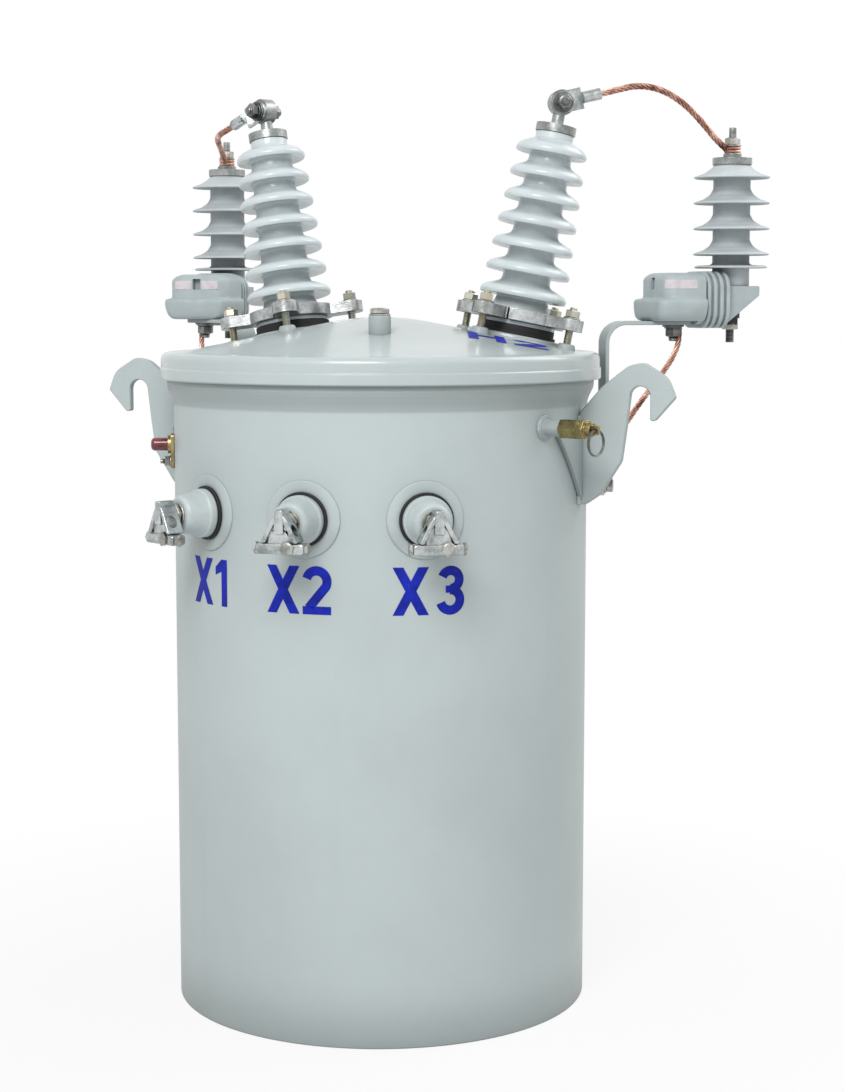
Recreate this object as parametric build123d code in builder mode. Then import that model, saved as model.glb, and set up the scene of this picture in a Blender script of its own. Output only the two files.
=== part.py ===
"""Pole mounted single-phase distribution transformer, built as a set of separate pieces.

Millimetres, +Z up. The origin is on the tank's axis at the level that the tank stands on.
The low-voltage terminals face -Y, the pole brackets face +Y.
An azimuth is measured in degrees from the front, -Y, towards +X.
"""

import os
from math import cos, radians, sin, tan

from build123d import *

os.makedirs("parts", exist_ok=True)

# Fits and cuts shared by all pieces
fit_gap = 0.2
cut_overrun = 20

# Tank: straight wall, flared collar, recessed bottom
tank_radius = 250
tank_sheet = 4
bottom_sheet = 6
skirt_depth = 16
wall_height = 718
flare_height = 28
flare_spread = 8
lip_height = 30

# Lid: rolled rim and shallow cone
lid_clearance = 7
lid_sheet = 4
lid_lap = 21
bead_height = 13
bead_step = 1.5
shoulder_round = 10
rim_width = 25
cone_slope = 11.2
crown_radius = 60
lid_gasket_width = 10
lid_gasket_height = 7

# Filler plug on the lid
plug_azimuth = 20
plug_place_radius = 117
plug_boss_radius = 13
plug_boss_height = 20
plug_head_width = 19
plug_head_height = 9

# High-voltage bushings, leaning out at right angles to the cone
hv_azimuth = 118
hv_inset = 75
hv_pad_radius = 58
hv_pad_rise = 4
hv_pad_root = 3
hv_gasket_radius = 49
hv_gasket_height = 4
hv_base_radius = 45
hv_base_top = 17
hv_shoulder_radius = 37
hv_first_shed_height = 51
hv_shed_count = 7
hv_shed_pitch = 29.3
hv_shed_low_radius = 54
hv_shed_high_radius = 44
hv_shed_rim = 5.5
hv_shed_under_drop = 3
hv_shed_over_rise = 7
hv_trunk_low_radius = 30
hv_trunk_high_radius = 25.5
hv_neck_radius = 23
hv_neck_height = 9

# Clamp ring that holds each high-voltage bushing
clamp_ring_radius = 53
clamp_height = 14
clamp_stud_circle_diameter = 152
clamp_ear_width = 30
clamp_stud_hole = 12
clamp_split_angle = 116
clamp_split_width = 2

# Terminal on each high-voltage bushing
terminal_cap_radius = 24.5
terminal_cap_height = 10
terminal_neck_radius = 7.5
terminal_neck_height = 12
terminal_eye_radius = 15.5
terminal_eye_width = 16
terminal_bolt_hole = 13

# Crimped cable lug on each terminal
lug_palm_sheet = 4
lug_palm_length = 24
lug_palm_width = 26
lug_barrel_radius = 7
lug_barrel_length = 22
lug_angle_right = 24
lug_angle_left = -8

# Surge arresters
arrester_lift_height = 43
arrester_core_radius = 23
arrester_shed_radius = 47
arrester_shed_pitch = 31.5
arrester_shed_count = 4
arrester_first_shed_height = 38
arrester_shed_rim = 2
arrester_shed_drop = 3
arrester_shed_rise = 13
arrester_flat_shed_height = 22
arrester_flat_shed_radius = 45
arrester_flat_shed_rise = 5
arrester_neck_height = 3.5
arrester_cap_radius = 24.5
arrester_cap_height = 9
arrester_stud_radius = 4.5
arrester_stud_height = 46
arrester_nut_width = 22
arrester_nut_height = 4

# Disconnector under each arrester
disconnector_radius = 12
disconnector_height = 22
disconnector_flange_radius = 16
disconnector_flange_height = 4
tail_stud_radius = 5
tail_stud_height = 30
tail_nut_width = 19
tail_nut_height = 8

# Straps that carry the arresters
strap_azimuth = 120
strap_width = 34
strap_sheet = 5
strap_foot_drop = 42
strap_foot_height = 56
strap_clearance = 12
strap_leg_drop = 12
strap_rise = 36
strap_reach = 91
strap_end_length = 18
strap_bend = 24
strap_joggle_bend = 12
strap_bolt_hole = 13

# Moulded insulating arms on the straps, swivelled about their bolts
arm_azimuth_right = 128
arm_azimuth_left = 178.7
arm_length = 77.8
arm_block_back = 37.5
arm_block_front = 25
arm_block_width = 92
arm_block_height = 59
arm_upper_chamfer_width = 18
arm_upper_chamfer_height = 14
arm_lower_chamfer_width = 10
arm_lower_chamfer_height = 23
arm_block_round = 13
arm_end_round = 9
arm_notch_width = 11
arm_notch_depth = 9
arm_notch_height = 14
arm_notch_drop = 6
arm_tier_height = 27
arm_tier_step = 9
arm_tier_round = 17
arm_rib_count = 4
arm_rib_thickness = 5.2
arm_rib_gap = 3.4
arm_rib_depth = 5
arm_rib_width = 78
arm_rib_drop = 9
arm_rib_rise = 2
arm_rib_round = 22
arm_shelf_half_width = 27
arm_shelf_drop = 4
arm_shelf_tip_height = 12
arm_collar_height = 18
arm_socket_clearance = 1

# Low-voltage bushings on the tank's front
lv_drop = 112
lv_azimuths = (-32, 0, 32)
lv_boss_radius = 44
lv_boss_rise = 1.5
lv_gasket_radius = 30.5
lv_gasket_height = 4
lv_flange_radius = 28
lv_flange_height = 8
lv_nose_radius = 21
lv_nose_height = 36
lv_edge_round = 3

# Clamp terminal on each low-voltage bushing
lv_stud_radius = 9
lv_stud_height = 6
lv_yoke_depth = 24
lv_yoke_top_width = 15
lv_yoke_foot_width = 42
lv_yoke_rise = 17
lv_yoke_shoulder_rise = 9
lv_yoke_drop = 22
lv_yoke_round = 3
lv_yoke_bore = 13
lv_bore_drop = 6
lv_pocket_depth = 5
lv_pocket_wall = 6
lv_bar_length = 57
lv_bar_width = 20
lv_bar_height = 12
lv_bar_drop = 26
lv_bar_setback = 2

# Lifting lugs at the two sides
hook_sheet = 10
hook_reach = 116
hook_base_drop = 2
hook_base_height = 107
hook_rise = 61
hook_tip_drop = 7
hook_slot_width = 24
hook_slot_centre_reach = 74
hook_slot_rise = 33
hook_foot_sheet = 6
hook_foot_azimuth = 73
hook_foot_drop = 18
hook_tip_width = 6
hook_back_rounds = (60, 26, 15, 26, 4)
hook_tip_rounds = (4, 3)
hook_belly_rounds = (40, 14, 24, 8)

# Pressure relief valve
relief_azimuth = 69
relief_drop = 14
relief_flange_radius = 13
relief_flange_height = 4
relief_nipple_radius = 9.5
relief_nipple_height = 26
relief_hex_width = 21
relief_hex_height = 34
relief_nose_radius = 8
relief_nose_height = 8
relief_tab_width = 10
relief_tab_sheet = 4
relief_tab_length = 9
relief_ring_radius = 14.5
relief_ring_wire = 1.6
relief_ring_hole = 4.6

# Fault indicator on the left
indicator_azimuth = -65
indicator_drop = 50
indicator_plate_length = 42
indicator_plate_width = 24
indicator_plate_sheet = 4
indicator_lens_radius = 8
indicator_lens_height = 20
indicator_lens_offset = 8
indicator_lens_round = 5
indicator_collar_radius = 11
indicator_collar_height = 4

# Pole brackets on the back
bracket_spacing = 286
bracket_drop = 102
bracket_height = 82
bracket_width = 130
bracket_standoff = 66
bracket_sheet = 9
bracket_bend = 14
bracket_slot_width = 18
bracket_slot_length = 42

# Earth bosses for the ground leads
earth_azimuth = 104
earth_drop = 91
earth_boss_radius = 13
earth_boss_height = 22

# Copper conductors: the points that each one follows, from its fixed end
jumper_radius = 4
ground_lead_radius = 3.5
arc_run_share = 0.45
jumper_right_route = [
    (242.4, 111.9, 1096.4),
    (257.5, 119.9, 1100.3),
    (278.44, 140.56, 1107.5),
    (298.75, 159.41, 1106),
    (318.07, 177.24, 1096.5),
    (335.38, 192.61, 1081),
    (350.67, 205.52, 1062),
    (363.82, 216.26, 1044),
    (374.55, 225.67, 1033.5),
]
jumper_left_route = [
    (-241.1, 111.2, 1070.9),
    (-255, 118.6, 1065.6),
    (-269.97, 132.86, 1062.5),
    (-283.94, 154.43, 1060.5),
    (-295.91, 178.92, 1058),
    (-305.87, 205.34, 1053.5),
    (-313.84, 231.75, 1045.5),
    (-319.6, 254.3, 1033.5),
]
ground_lead_right_route = [
    (325.5, 188, 817.7),
    (326.5, 187.5, 798),
    (320, 176, 776),
    (307, 157, 752),
    (293, 136, 728),
    (280, 115, 703),
    (269, 93, 679),
    (260.5, 73, 659),
    (258.1, 65.4, 641.2),
]
ground_lead_left_route = [(-x, y, z) for x, y, z in ground_lead_right_route]

# Heights and radii that follow from those sizes
flare_end = wall_height + flare_height
lip_radius = tank_radius + flare_spread
lip_top = flare_end + lip_height
lid_radius = lip_radius + lid_clearance
lid_edge = lip_top - lid_lap
lid_under = lip_top + lid_gasket_height
lid_shoulder = lid_under + lid_sheet
cone_radius = lid_radius - rim_width
cone_rise = tan(radians(cone_slope))
hv_place_radius = cone_radius - hv_inset
strap_foot_high = wall_height - strap_foot_drop
strap_foot_low = strap_foot_high - strap_foot_height
strap_leg_radius = lid_radius + strap_clearance
strap_leg_low = wall_height - strap_leg_drop
strap_top = lid_shoulder + strap_rise
strap_bolt_radius = strap_leg_radius + strap_reach
arrester_base = strap_top + arrester_lift_height
arrester_shed_top = arrester_first_shed_height + (arrester_shed_count - 1) * arrester_shed_pitch
arrester_height = arrester_shed_top + arrester_shed_rise + arrester_neck_height
lv_height = wall_height - lv_drop
hook_base_high = wall_height - hook_base_drop
hook_base_low = hook_base_high - hook_base_height
hook_tip = hook_base_high - hook_tip_drop
hook_slot_top = hook_base_high + hook_slot_rise
hook_foot_top = hook_base_high - hook_foot_drop
bracket_high = wall_height - bracket_drop
up = Vector(0, 0, 1)


def radial(azimuth):
    """Unit vector that points away from the tank's axis."""
    return Vector(sin(radians(azimuth)), -cos(radians(azimuth)), 0)


def upright(azimuth, radius, height):
    """Plane at a place around the tank, its x outward and its z up."""
    return Plane(radial(azimuth) * radius + up * height, x_dir=radial(azimuth), z_dir=up)


def facing(azimuth, radius, height):
    """Plane on the tank's side, its z outward and its y up."""
    return Plane(
        radial(azimuth) * radius + up * height, x_dir=up.cross(radial(azimuth)), z_dir=radial(azimuth)
    )


def lid_surface(radius):
    """Height of the lid's cone at a distance from the axis."""
    return lid_shoulder + (cone_radius - radius) * cone_rise


def bushing_seat(azimuth):
    """Plane on the top of a bushing pad, its z along the leaning bushing."""
    lean = radians(cone_slope)
    out = radial(azimuth)
    axis = out * sin(lean) + up * cos(lean)
    foot = out * hv_place_radius + up * lid_surface(hv_place_radius)
    return Plane(foot + axis * hv_pad_rise, x_dir=out * cos(lean) - up * sin(lean), z_dir=axis)


def profile_plane(seat):
    """Plane through a seat's axis, its x outward and its y along that axis."""
    return Plane(seat.origin, x_dir=seat.x_dir, z_dir=-seat.y_dir)


def seat_axis(seat):
    return Axis(seat.origin, seat.z_dir)


def turned(seat, *outline):
    """Solid of revolution about the seat's z axis."""
    with BuildPart() as turning:
        with BuildSketch(profile_plane(seat)):
            with BuildLine():
                Polyline(*outline, close=True)
            make_face()
        revolve(axis=seat_axis(seat))
    return turning.part


def keep(part, name):
    """Labels a finished piece and writes it."""
    part.label = name
    export_step(part, f"parts/{name}.step")


# Tank wall with its flared collar and the flat bosses of the low-voltage bushings
tank_inner = tank_radius - tank_sheet
lip_inner = lip_radius - tank_sheet
with BuildPart() as tank_wall:
    with BuildSketch(Plane.XZ):
        with BuildLine():
            Polyline(
                (tank_inner, 0),
                (tank_radius, 0),
                (tank_radius, wall_height),
                (lip_radius, flare_end),
                (lip_radius, lip_top),
                (lip_inner, lip_top),
                (lip_inner, flare_end),
                (tank_inner, wall_height),
                close=True,
            )
        make_face()
    revolve(axis=Axis.Z)
    for azimuth in lv_azimuths:
        with BuildSketch(facing(azimuth, tank_inner, lv_height)):
            Circle(lv_boss_radius)
        extrude(amount=tank_sheet + lv_boss_rise)
keep(tank_wall.part, "tank_wall")

# Tank bottom, set up inside the wall's skirt
with BuildPart() as tank_bottom:
    with BuildSketch(Plane.XY.offset(skirt_depth)):
        Circle(tank_inner - fit_gap)
    extrude(amount=bottom_sheet)
keep(tank_bottom.part, "tank_bottom")

# Lid: rim with a bead, rounded shoulder, cone with a rounded crown, two bushing pads
lid_inner = lid_radius - lid_sheet + bead_step
crown_height = lid_surface(crown_radius)
crown_rise = crown_radius * tan(radians(cone_slope / 2))
cone_direction = (-cos(radians(cone_slope)), sin(radians(cone_slope)))
with BuildPart() as lid:
    with BuildSketch(Plane.XZ):
        with BuildLine():
            Polyline(
                (lid_inner, lid_edge),
                (lid_radius + bead_step, lid_edge),
                (lid_radius + bead_step, lid_edge + bead_height),
                (lid_radius, lid_edge + bead_height + bead_step),
                (lid_radius, lid_shoulder - shoulder_round),
            )
            RadiusArc(
                (lid_radius, lid_shoulder - shoulder_round),
                (lid_radius - shoulder_round, lid_shoulder),
                -shoulder_round,
            )
            Polyline(
                (lid_radius - shoulder_round, lid_shoulder),
                (cone_radius, lid_shoulder),
                (crown_radius, crown_height),
            )
            TangentArc(
                (crown_radius, crown_height), (0, crown_height + crown_rise), tangent=cone_direction
            )
            Polyline(
                (0, crown_height + crown_rise),
                (0, crown_height + crown_rise - lid_sheet),
                (crown_radius, crown_height - lid_sheet),
                (cone_radius, lid_under),
                (lid_inner, lid_under),
                (lid_inner, lid_edge),
            )
        make_face()
    revolve(axis=Axis.Z)
    for azimuth in (-hv_azimuth, hv_azimuth):
        with BuildSketch(bushing_seat(azimuth).offset(-hv_pad_rise - hv_pad_root)):
            Circle(hv_pad_radius)
        extrude(amount=hv_pad_rise + hv_pad_root)
keep(lid.part, "lid")

# Gasket between the tank's lip and the lid
gasket_seat = Plane.XY.offset(lip_top)
with BuildPart() as lid_gasket:
    with BuildSketch(gasket_seat):
        Circle(lip_radius)
        Circle(lip_radius - lid_gasket_width, mode=Mode.SUBTRACT)
    extrude(amount=lid_gasket_height)
keep(lid_gasket.part, "lid_gasket")

# Filler plug: a boss that stands on the cone, with a hexagon head
plug_low = lid_surface(plug_place_radius)
plug_seat = upright(plug_azimuth, plug_place_radius, plug_low + plug_boss_height)
with BuildPart() as filler_plug:
    with BuildSketch(plug_seat):
        Circle(plug_boss_radius)
    extrude(amount=-(plug_boss_height + lid_sheet))
    with BuildSketch(Plane.XZ, mode=Mode.PRIVATE) as cone_below:
        with BuildLine():
            Polyline(
                (0, 0),
                (cone_radius, 0),
                (cone_radius, lid_shoulder),
                (0, lid_surface(0)),
                close=True,
            )
        make_face()
    revolve(cone_below.sketch, axis=Axis.Z, mode=Mode.SUBTRACT)
    with BuildSketch(plug_seat):
        RegularPolygon(plug_head_width / 2, 6, major_radius=False)
    extrude(amount=plug_head_height)
keep(filler_plug.part, "filler_plug")

# High-voltage bushings: gasket, glazed body with sheds, clamp ring, terminal
hv_body_low = hv_gasket_height
hv_shed_top = hv_first_shed_height + (hv_shed_count - 1) * hv_shed_pitch
hv_body_top = hv_shed_top + hv_shed_rim + hv_shed_over_rise + hv_neck_height
eye_height = hv_body_top + terminal_cap_height + terminal_neck_height + terminal_eye_radius


def shed_radii(index):
    """Trunk and rim radius of a shed, counted from the lowest."""
    share = index / (hv_shed_count - 1)
    trunk = hv_trunk_low_radius + (hv_trunk_high_radius - hv_trunk_low_radius) * share
    rim = hv_shed_low_radius + (hv_shed_high_radius - hv_shed_low_radius) * share
    return trunk, rim


def make_bushing(seat):
    with BuildPart() as bushing:
        with BuildSketch(profile_plane(seat)):
            with BuildLine():
                Polyline(
                    (0, hv_body_top),
                    (0, hv_body_low),
                    (hv_base_radius, hv_body_low),
                    (hv_base_radius, hv_base_top),
                    (hv_shoulder_radius - fit_gap, hv_base_top),
                    (hv_shoulder_radius - fit_gap, hv_base_top + clamp_height),
                )
                last = (hv_shoulder_radius - fit_gap, hv_base_top + clamp_height)
                for index in range(hv_shed_count):
                    trunk, rim = shed_radii(index)
                    height = hv_first_shed_height + index * hv_shed_pitch
                    rim_centre = rim - hv_shed_rim
                    under = (trunk, height - hv_shed_rim - hv_shed_under_drop)
                    low = (rim_centre, height - hv_shed_rim)
                    high = (rim_centre, height + hv_shed_rim)
                    over = (trunk, height + hv_shed_rim + hv_shed_over_rise)
                    Polyline(last, under, low)
                    ThreePointArc(low, (rim, height), high)
                    Line(high, over)
                    last = over
                Polyline(last, (hv_neck_radius, last[1]), (hv_neck_radius, hv_body_top), (0, hv_body_top))
            make_face()
        revolve(axis=seat_axis(seat))
    return bushing.part


def make_clamp(seat, hand):
    """Clamp ring, split at the front, with four ears at 45 degrees to the way the bushing leans."""
    with BuildPart() as clamp:
        with BuildSketch(seat.offset(hv_base_top)):
            Circle(clamp_ring_radius)
            with PolarLocations(0, 2, start_angle=45, angular_range=180):
                SlotCenterToCenter(clamp_stud_circle_diameter, clamp_ear_width)
            Circle(hv_shoulder_radius, mode=Mode.SUBTRACT)
            with PolarLocations(clamp_stud_circle_diameter / 2, 4, start_angle=45):
                Circle(clamp_stud_hole / 2, mode=Mode.SUBTRACT)
            with PolarLocations(clamp_ring_radius, 1, start_angle=-hand * clamp_split_angle):
                Rectangle(clamp_ring_radius, clamp_split_width, mode=Mode.SUBTRACT)
        extrude(amount=clamp_height)
    return clamp.part


def make_terminal(seat):
    """Cap on the bushing's neck with an eye, whose bolt hole runs round the tank."""
    neck_low = hv_body_top + terminal_cap_height
    with BuildPart() as terminal:
        with BuildSketch(seat.offset(hv_body_top)):
            Circle(terminal_cap_radius)
        extrude(amount=terminal_cap_height)
        with BuildSketch(seat.offset(neck_low)):
            Circle(terminal_neck_radius)
        extrude(amount=terminal_neck_height + terminal_eye_radius - terminal_bolt_hole / 2)
        with BuildSketch(profile_plane(seat)):
            with Locations((0, eye_height)):
                Circle(terminal_eye_radius)
        extrude(amount=terminal_eye_width / 2, both=True)
        with BuildSketch(profile_plane(seat)):
            with Locations((0, eye_height)):
                Circle(terminal_bolt_hole / 2)
        extrude(amount=terminal_eye_width, both=True, mode=Mode.SUBTRACT)
    return terminal.part


def palm_plane(seat, hand, rise):
    """Plane on the eye's front face, its x along the cable lug and its z to the front."""
    eye = seat.origin + seat.z_dir * eye_height
    front = seat.y_dir * -hand
    along = seat.x_dir * cos(radians(rise)) + seat.z_dir * sin(radians(rise))
    return Plane(eye + front * (terminal_eye_width / 2), x_dir=along, z_dir=front)


def make_cable_lug(palm):
    barrel_start = lug_palm_length
    with BuildPart() as cable_lug:
        with BuildSketch(palm):
            Circle(lug_palm_width / 2)
            with Locations((barrel_start / 2, 0)):
                Rectangle(barrel_start, lug_palm_width)
            Circle(terminal_bolt_hole / 2, mode=Mode.SUBTRACT)
        extrude(amount=lug_palm_sheet)
        barrel = Plane(
            palm.origin + palm.x_dir * barrel_start + palm.z_dir * lug_barrel_radius,
            x_dir=palm.z_dir,
            z_dir=palm.x_dir,
        )
        with BuildSketch(barrel):
            Circle(lug_barrel_radius)
        extrude(amount=lug_barrel_length)
    return cable_lug.part


def barrel_mouth(palm):
    """Centre of the cable lug's open end, and the way that it points."""
    end = lug_palm_length + lug_barrel_length
    return palm.origin + palm.x_dir * end + palm.z_dir * lug_barrel_radius, palm.x_dir


hv_gaskets = []
mouths = {}
for side, hand, rise in (("left", -1, lug_angle_left), ("right", 1, lug_angle_right)):
    seat = bushing_seat(hand * hv_azimuth)
    with BuildPart() as hv_gasket:
        with BuildSketch(seat):
            Circle(hv_gasket_radius)
        extrude(amount=hv_gasket_height)
    hv_gaskets.append(hv_gasket.part)
    keep(make_bushing(seat), f"hv_bushing_{side}")
    keep(make_clamp(seat, hand), f"hv_clamp_{side}")
    keep(make_terminal(seat), f"hv_terminal_{side}")
    palm = palm_plane(seat, hand, rise)
    keep(make_cable_lug(palm), f"cable_lug_{side}")
    mouths[side] = barrel_mouth(palm)
keep(Compound(children=hv_gaskets), "hv_gaskets")

# Arrester straps: a flat bar up from the tank's side, past the lid, and out over it
leg_centre = strap_leg_radius + strap_sheet / 2
foot_centre = tank_radius + strap_sheet / 2
top_centre = strap_top - strap_sheet / 2
strap_end = strap_bolt_radius + strap_end_length
for side, hand in (("left", -1), ("right", 1)):
    middle = profile_plane(upright(hand * strap_azimuth, 0, 0))
    with BuildPart() as strap:
        with BuildSketch(middle):
            with BuildLine():
                FilletPolyline(
                    (foot_centre, strap_foot_low),
                    (foot_centre, strap_foot_high),
                    (leg_centre, strap_leg_low),
                    (leg_centre, top_centre),
                    (strap_end, top_centre),
                    radius=[strap_joggle_bend, strap_joggle_bend, strap_bend],
                )
            trace(line_width=strap_sheet)
        extrude(amount=strap_width / 2, both=True)
        with Locations(upright(hand * strap_azimuth, strap_bolt_radius, strap_top)):
            Hole(strap_bolt_hole / 2)
    keep(strap.part, f"arrester_strap_{side}")


def arm_plane(hand, azimuth):
    """Plane on the strap at its bolt, its x along the insulating arm."""
    bolt = radial(hand * strap_azimuth) * strap_bolt_radius + up * strap_top
    return Plane(bolt, x_dir=radial(hand * azimuth), z_dir=up)


def make_arm(place):
    """Moulded arm: rounded block with a stepped, notched end, ring ribs, and a wedge under the arrester."""
    half = arm_block_width / 2
    low_half = half - arm_lower_chamfer_width
    high_half = half - arm_upper_chamfer_width
    high = arm_block_height - arm_upper_chamfer_height
    right_side = [
        (low_half, 0),
        (half, arm_lower_chamfer_height),
        (half, high),
        (high_half, arm_block_height),
    ]
    left_side = [(-across, height) for across, height in reversed(right_side)]
    block_length = arm_block_back + arm_block_front
    block_middle = (arm_block_front - arm_block_back) / 2
    tier_back = arm_tier_step - arm_block_back
    tiers = [(0, -arm_block_back, arm_end_round), (arm_tier_height, tier_back, arm_tier_round)]
    notch_middle = arm_block_height - arm_notch_drop - arm_notch_height / 2
    rib_height = arm_block_height + arm_rib_rise + arm_rib_drop
    rib_middle = (arm_block_height + arm_rib_rise - arm_rib_drop) / 2
    rib_pitch = arm_rib_thickness + arm_rib_gap
    shelf_start = arm_block_front + arm_rib_count * rib_pitch
    shelf_tip = arm_length + arm_shelf_half_width
    section = Plane(place.origin, x_dir=place.y_dir, z_dir=place.x_dir)
    side = Plane(place.origin, x_dir=place.x_dir, z_dir=-place.y_dir)
    socket = Plane(place.origin + place.x_dir * arm_length, x_dir=place.x_dir, z_dir=up)
    collar_low = arrester_lift_height - arm_collar_height
    with BuildPart() as arm:
        with BuildSketch(section.offset(-arm_block_back)):
            with BuildLine():
                Polyline(*right_side, *left_side, close=True)
            make_face()
        extrude(amount=block_length)
        fillet(edges().filter_by(Axis(place.origin, place.x_dir)), radius=arm_block_round)
        for height, back, corner in tiers:
            with BuildSketch(place.offset(height)):
                with Locations((block_middle, 0)):
                    Rectangle(block_length, arm_block_width)
                with Locations(((back + arm_block_front + corner) / 2, 0)):
                    RectangleRounded(
                        arm_block_front + corner - back,
                        arm_block_width,
                        corner,
                        mode=Mode.SUBTRACT,
                    )
            extrude(amount=arm_block_height, mode=Mode.SUBTRACT)
        with BuildSketch(section.offset(tier_back)):
            with Locations((0, notch_middle)):
                Rectangle(arm_notch_width, arm_notch_height)
        extrude(amount=arm_notch_depth, mode=Mode.SUBTRACT)
        with BuildSketch(section.offset(arm_block_front)):
            with Locations((0, rib_middle)):
                RectangleRounded(
                    arm_rib_width - 2 * arm_rib_depth,
                    rib_height - 2 * arm_rib_depth,
                    arm_rib_round - arm_rib_depth,
                )
        extrude(amount=shelf_start - arm_block_front)
        for index in range(arm_rib_count):
            with BuildSketch(section.offset(arm_block_front + arm_rib_gap + index * rib_pitch)):
                with Locations((0, rib_middle)):
                    RectangleRounded(arm_rib_width, rib_height, arm_rib_round)
            extrude(amount=arm_rib_thickness)
        with BuildSketch(place.offset(-arm_shelf_drop)):
            with Locations(((shelf_start + shelf_tip) / 2, 0)):
                Rectangle(shelf_tip - shelf_start, 2 * arm_shelf_half_width)
        extrude(amount=arm_shelf_drop + arrester_lift_height)
        with BuildSketch(side):
            with BuildLine():
                Polyline(
                    (shelf_start, -arm_shelf_drop),
                    (shelf_tip, -arm_shelf_drop),
                    (shelf_tip, arrester_lift_height - arm_shelf_tip_height),
                    close=True,
                )
            make_face()
        extrude(amount=arm_shelf_half_width, both=True, mode=Mode.SUBTRACT)
        with BuildSketch(socket.offset(collar_low)):
            Circle(disconnector_flange_radius + arm_socket_clearance)
        extrude(amount=-arm_block_height, mode=Mode.SUBTRACT)
        with BuildSketch(socket.offset(arrester_lift_height)):
            Circle(arrester_core_radius + arm_socket_clearance)
        extrude(amount=arm_block_height, mode=Mode.SUBTRACT)
    return arm.part


def make_arrester(place):
    """Polymer housing: thin drooping sheds on a core, with a flat one at the foot."""
    sheds = [(arrester_flat_shed_height, arrester_flat_shed_radius, arrester_flat_shed_rise)]
    for index in range(arrester_shed_count):
        shed_height = arrester_first_shed_height + index * arrester_shed_pitch
        sheds.append((shed_height, arrester_shed_radius, arrester_shed_rise))
    outline = [(0, arrester_height), (0, 0), (arrester_core_radius, 0)]
    for height, radius, rise in sheds:
        outline += [
            (arrester_core_radius, height + arrester_shed_drop),
            (radius, height),
            (radius, height + arrester_shed_rim),
            (arrester_core_radius, height + rise),
        ]
    outline.append((arrester_core_radius, arrester_height))
    return turned(place, *outline)


def make_arrester_cap(place):
    """Metal cap with its terminal stud and nut."""
    nut_low = arrester_cap_height
    with BuildPart() as cap:
        with BuildSketch(place):
            Circle(arrester_cap_radius)
        extrude(amount=arrester_cap_height)
        with BuildSketch(place.offset(nut_low)):
            RegularPolygon(arrester_nut_width / 2, 6, major_radius=False)
        extrude(amount=arrester_nut_height)
        with BuildSketch(place):
            Circle(arrester_stud_radius)
        extrude(amount=arrester_stud_height)
    return cap.part


def make_disconnector(place):
    """Black disconnector under the collar, with its nut and tail stud; the plane's z points down."""
    with BuildPart() as disconnector:
        with BuildSketch(place):
            Circle(disconnector_flange_radius)
        extrude(amount=disconnector_flange_height)
        with BuildSketch(place):
            Circle(disconnector_radius)
        extrude(amount=disconnector_height)
        with BuildSketch(place.offset(disconnector_height)):
            RegularPolygon(tail_nut_width / 2, 6, major_radius=False)
        extrude(amount=tail_nut_height)
        with BuildSketch(place.offset(disconnector_height)):
            Circle(tail_stud_radius)
        extrude(amount=tail_stud_height)
    return disconnector.part


arrester_caps = []
for side, hand, azimuth in (("left", -1, arm_azimuth_left), ("right", 1, arm_azimuth_right)):
    place = arm_plane(hand, azimuth)
    axis = place.origin + place.x_dir * arm_length - up * strap_top
    foot = Plane(axis + up * arrester_base, x_dir=place.x_dir, z_dir=up)
    under = Plane(axis + up * (arrester_base - arm_collar_height), x_dir=place.x_dir, z_dir=-up)
    keep(make_arm(place), f"arrester_arm_{side}")
    keep(make_arrester(foot), f"arrester_{side}")
    keep(make_disconnector(under), f"arrester_disconnector_{side}")
    arrester_caps.append(make_arrester_cap(foot.offset(arrester_height)))
keep(Compound(children=arrester_caps), "arrester_caps")

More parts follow.
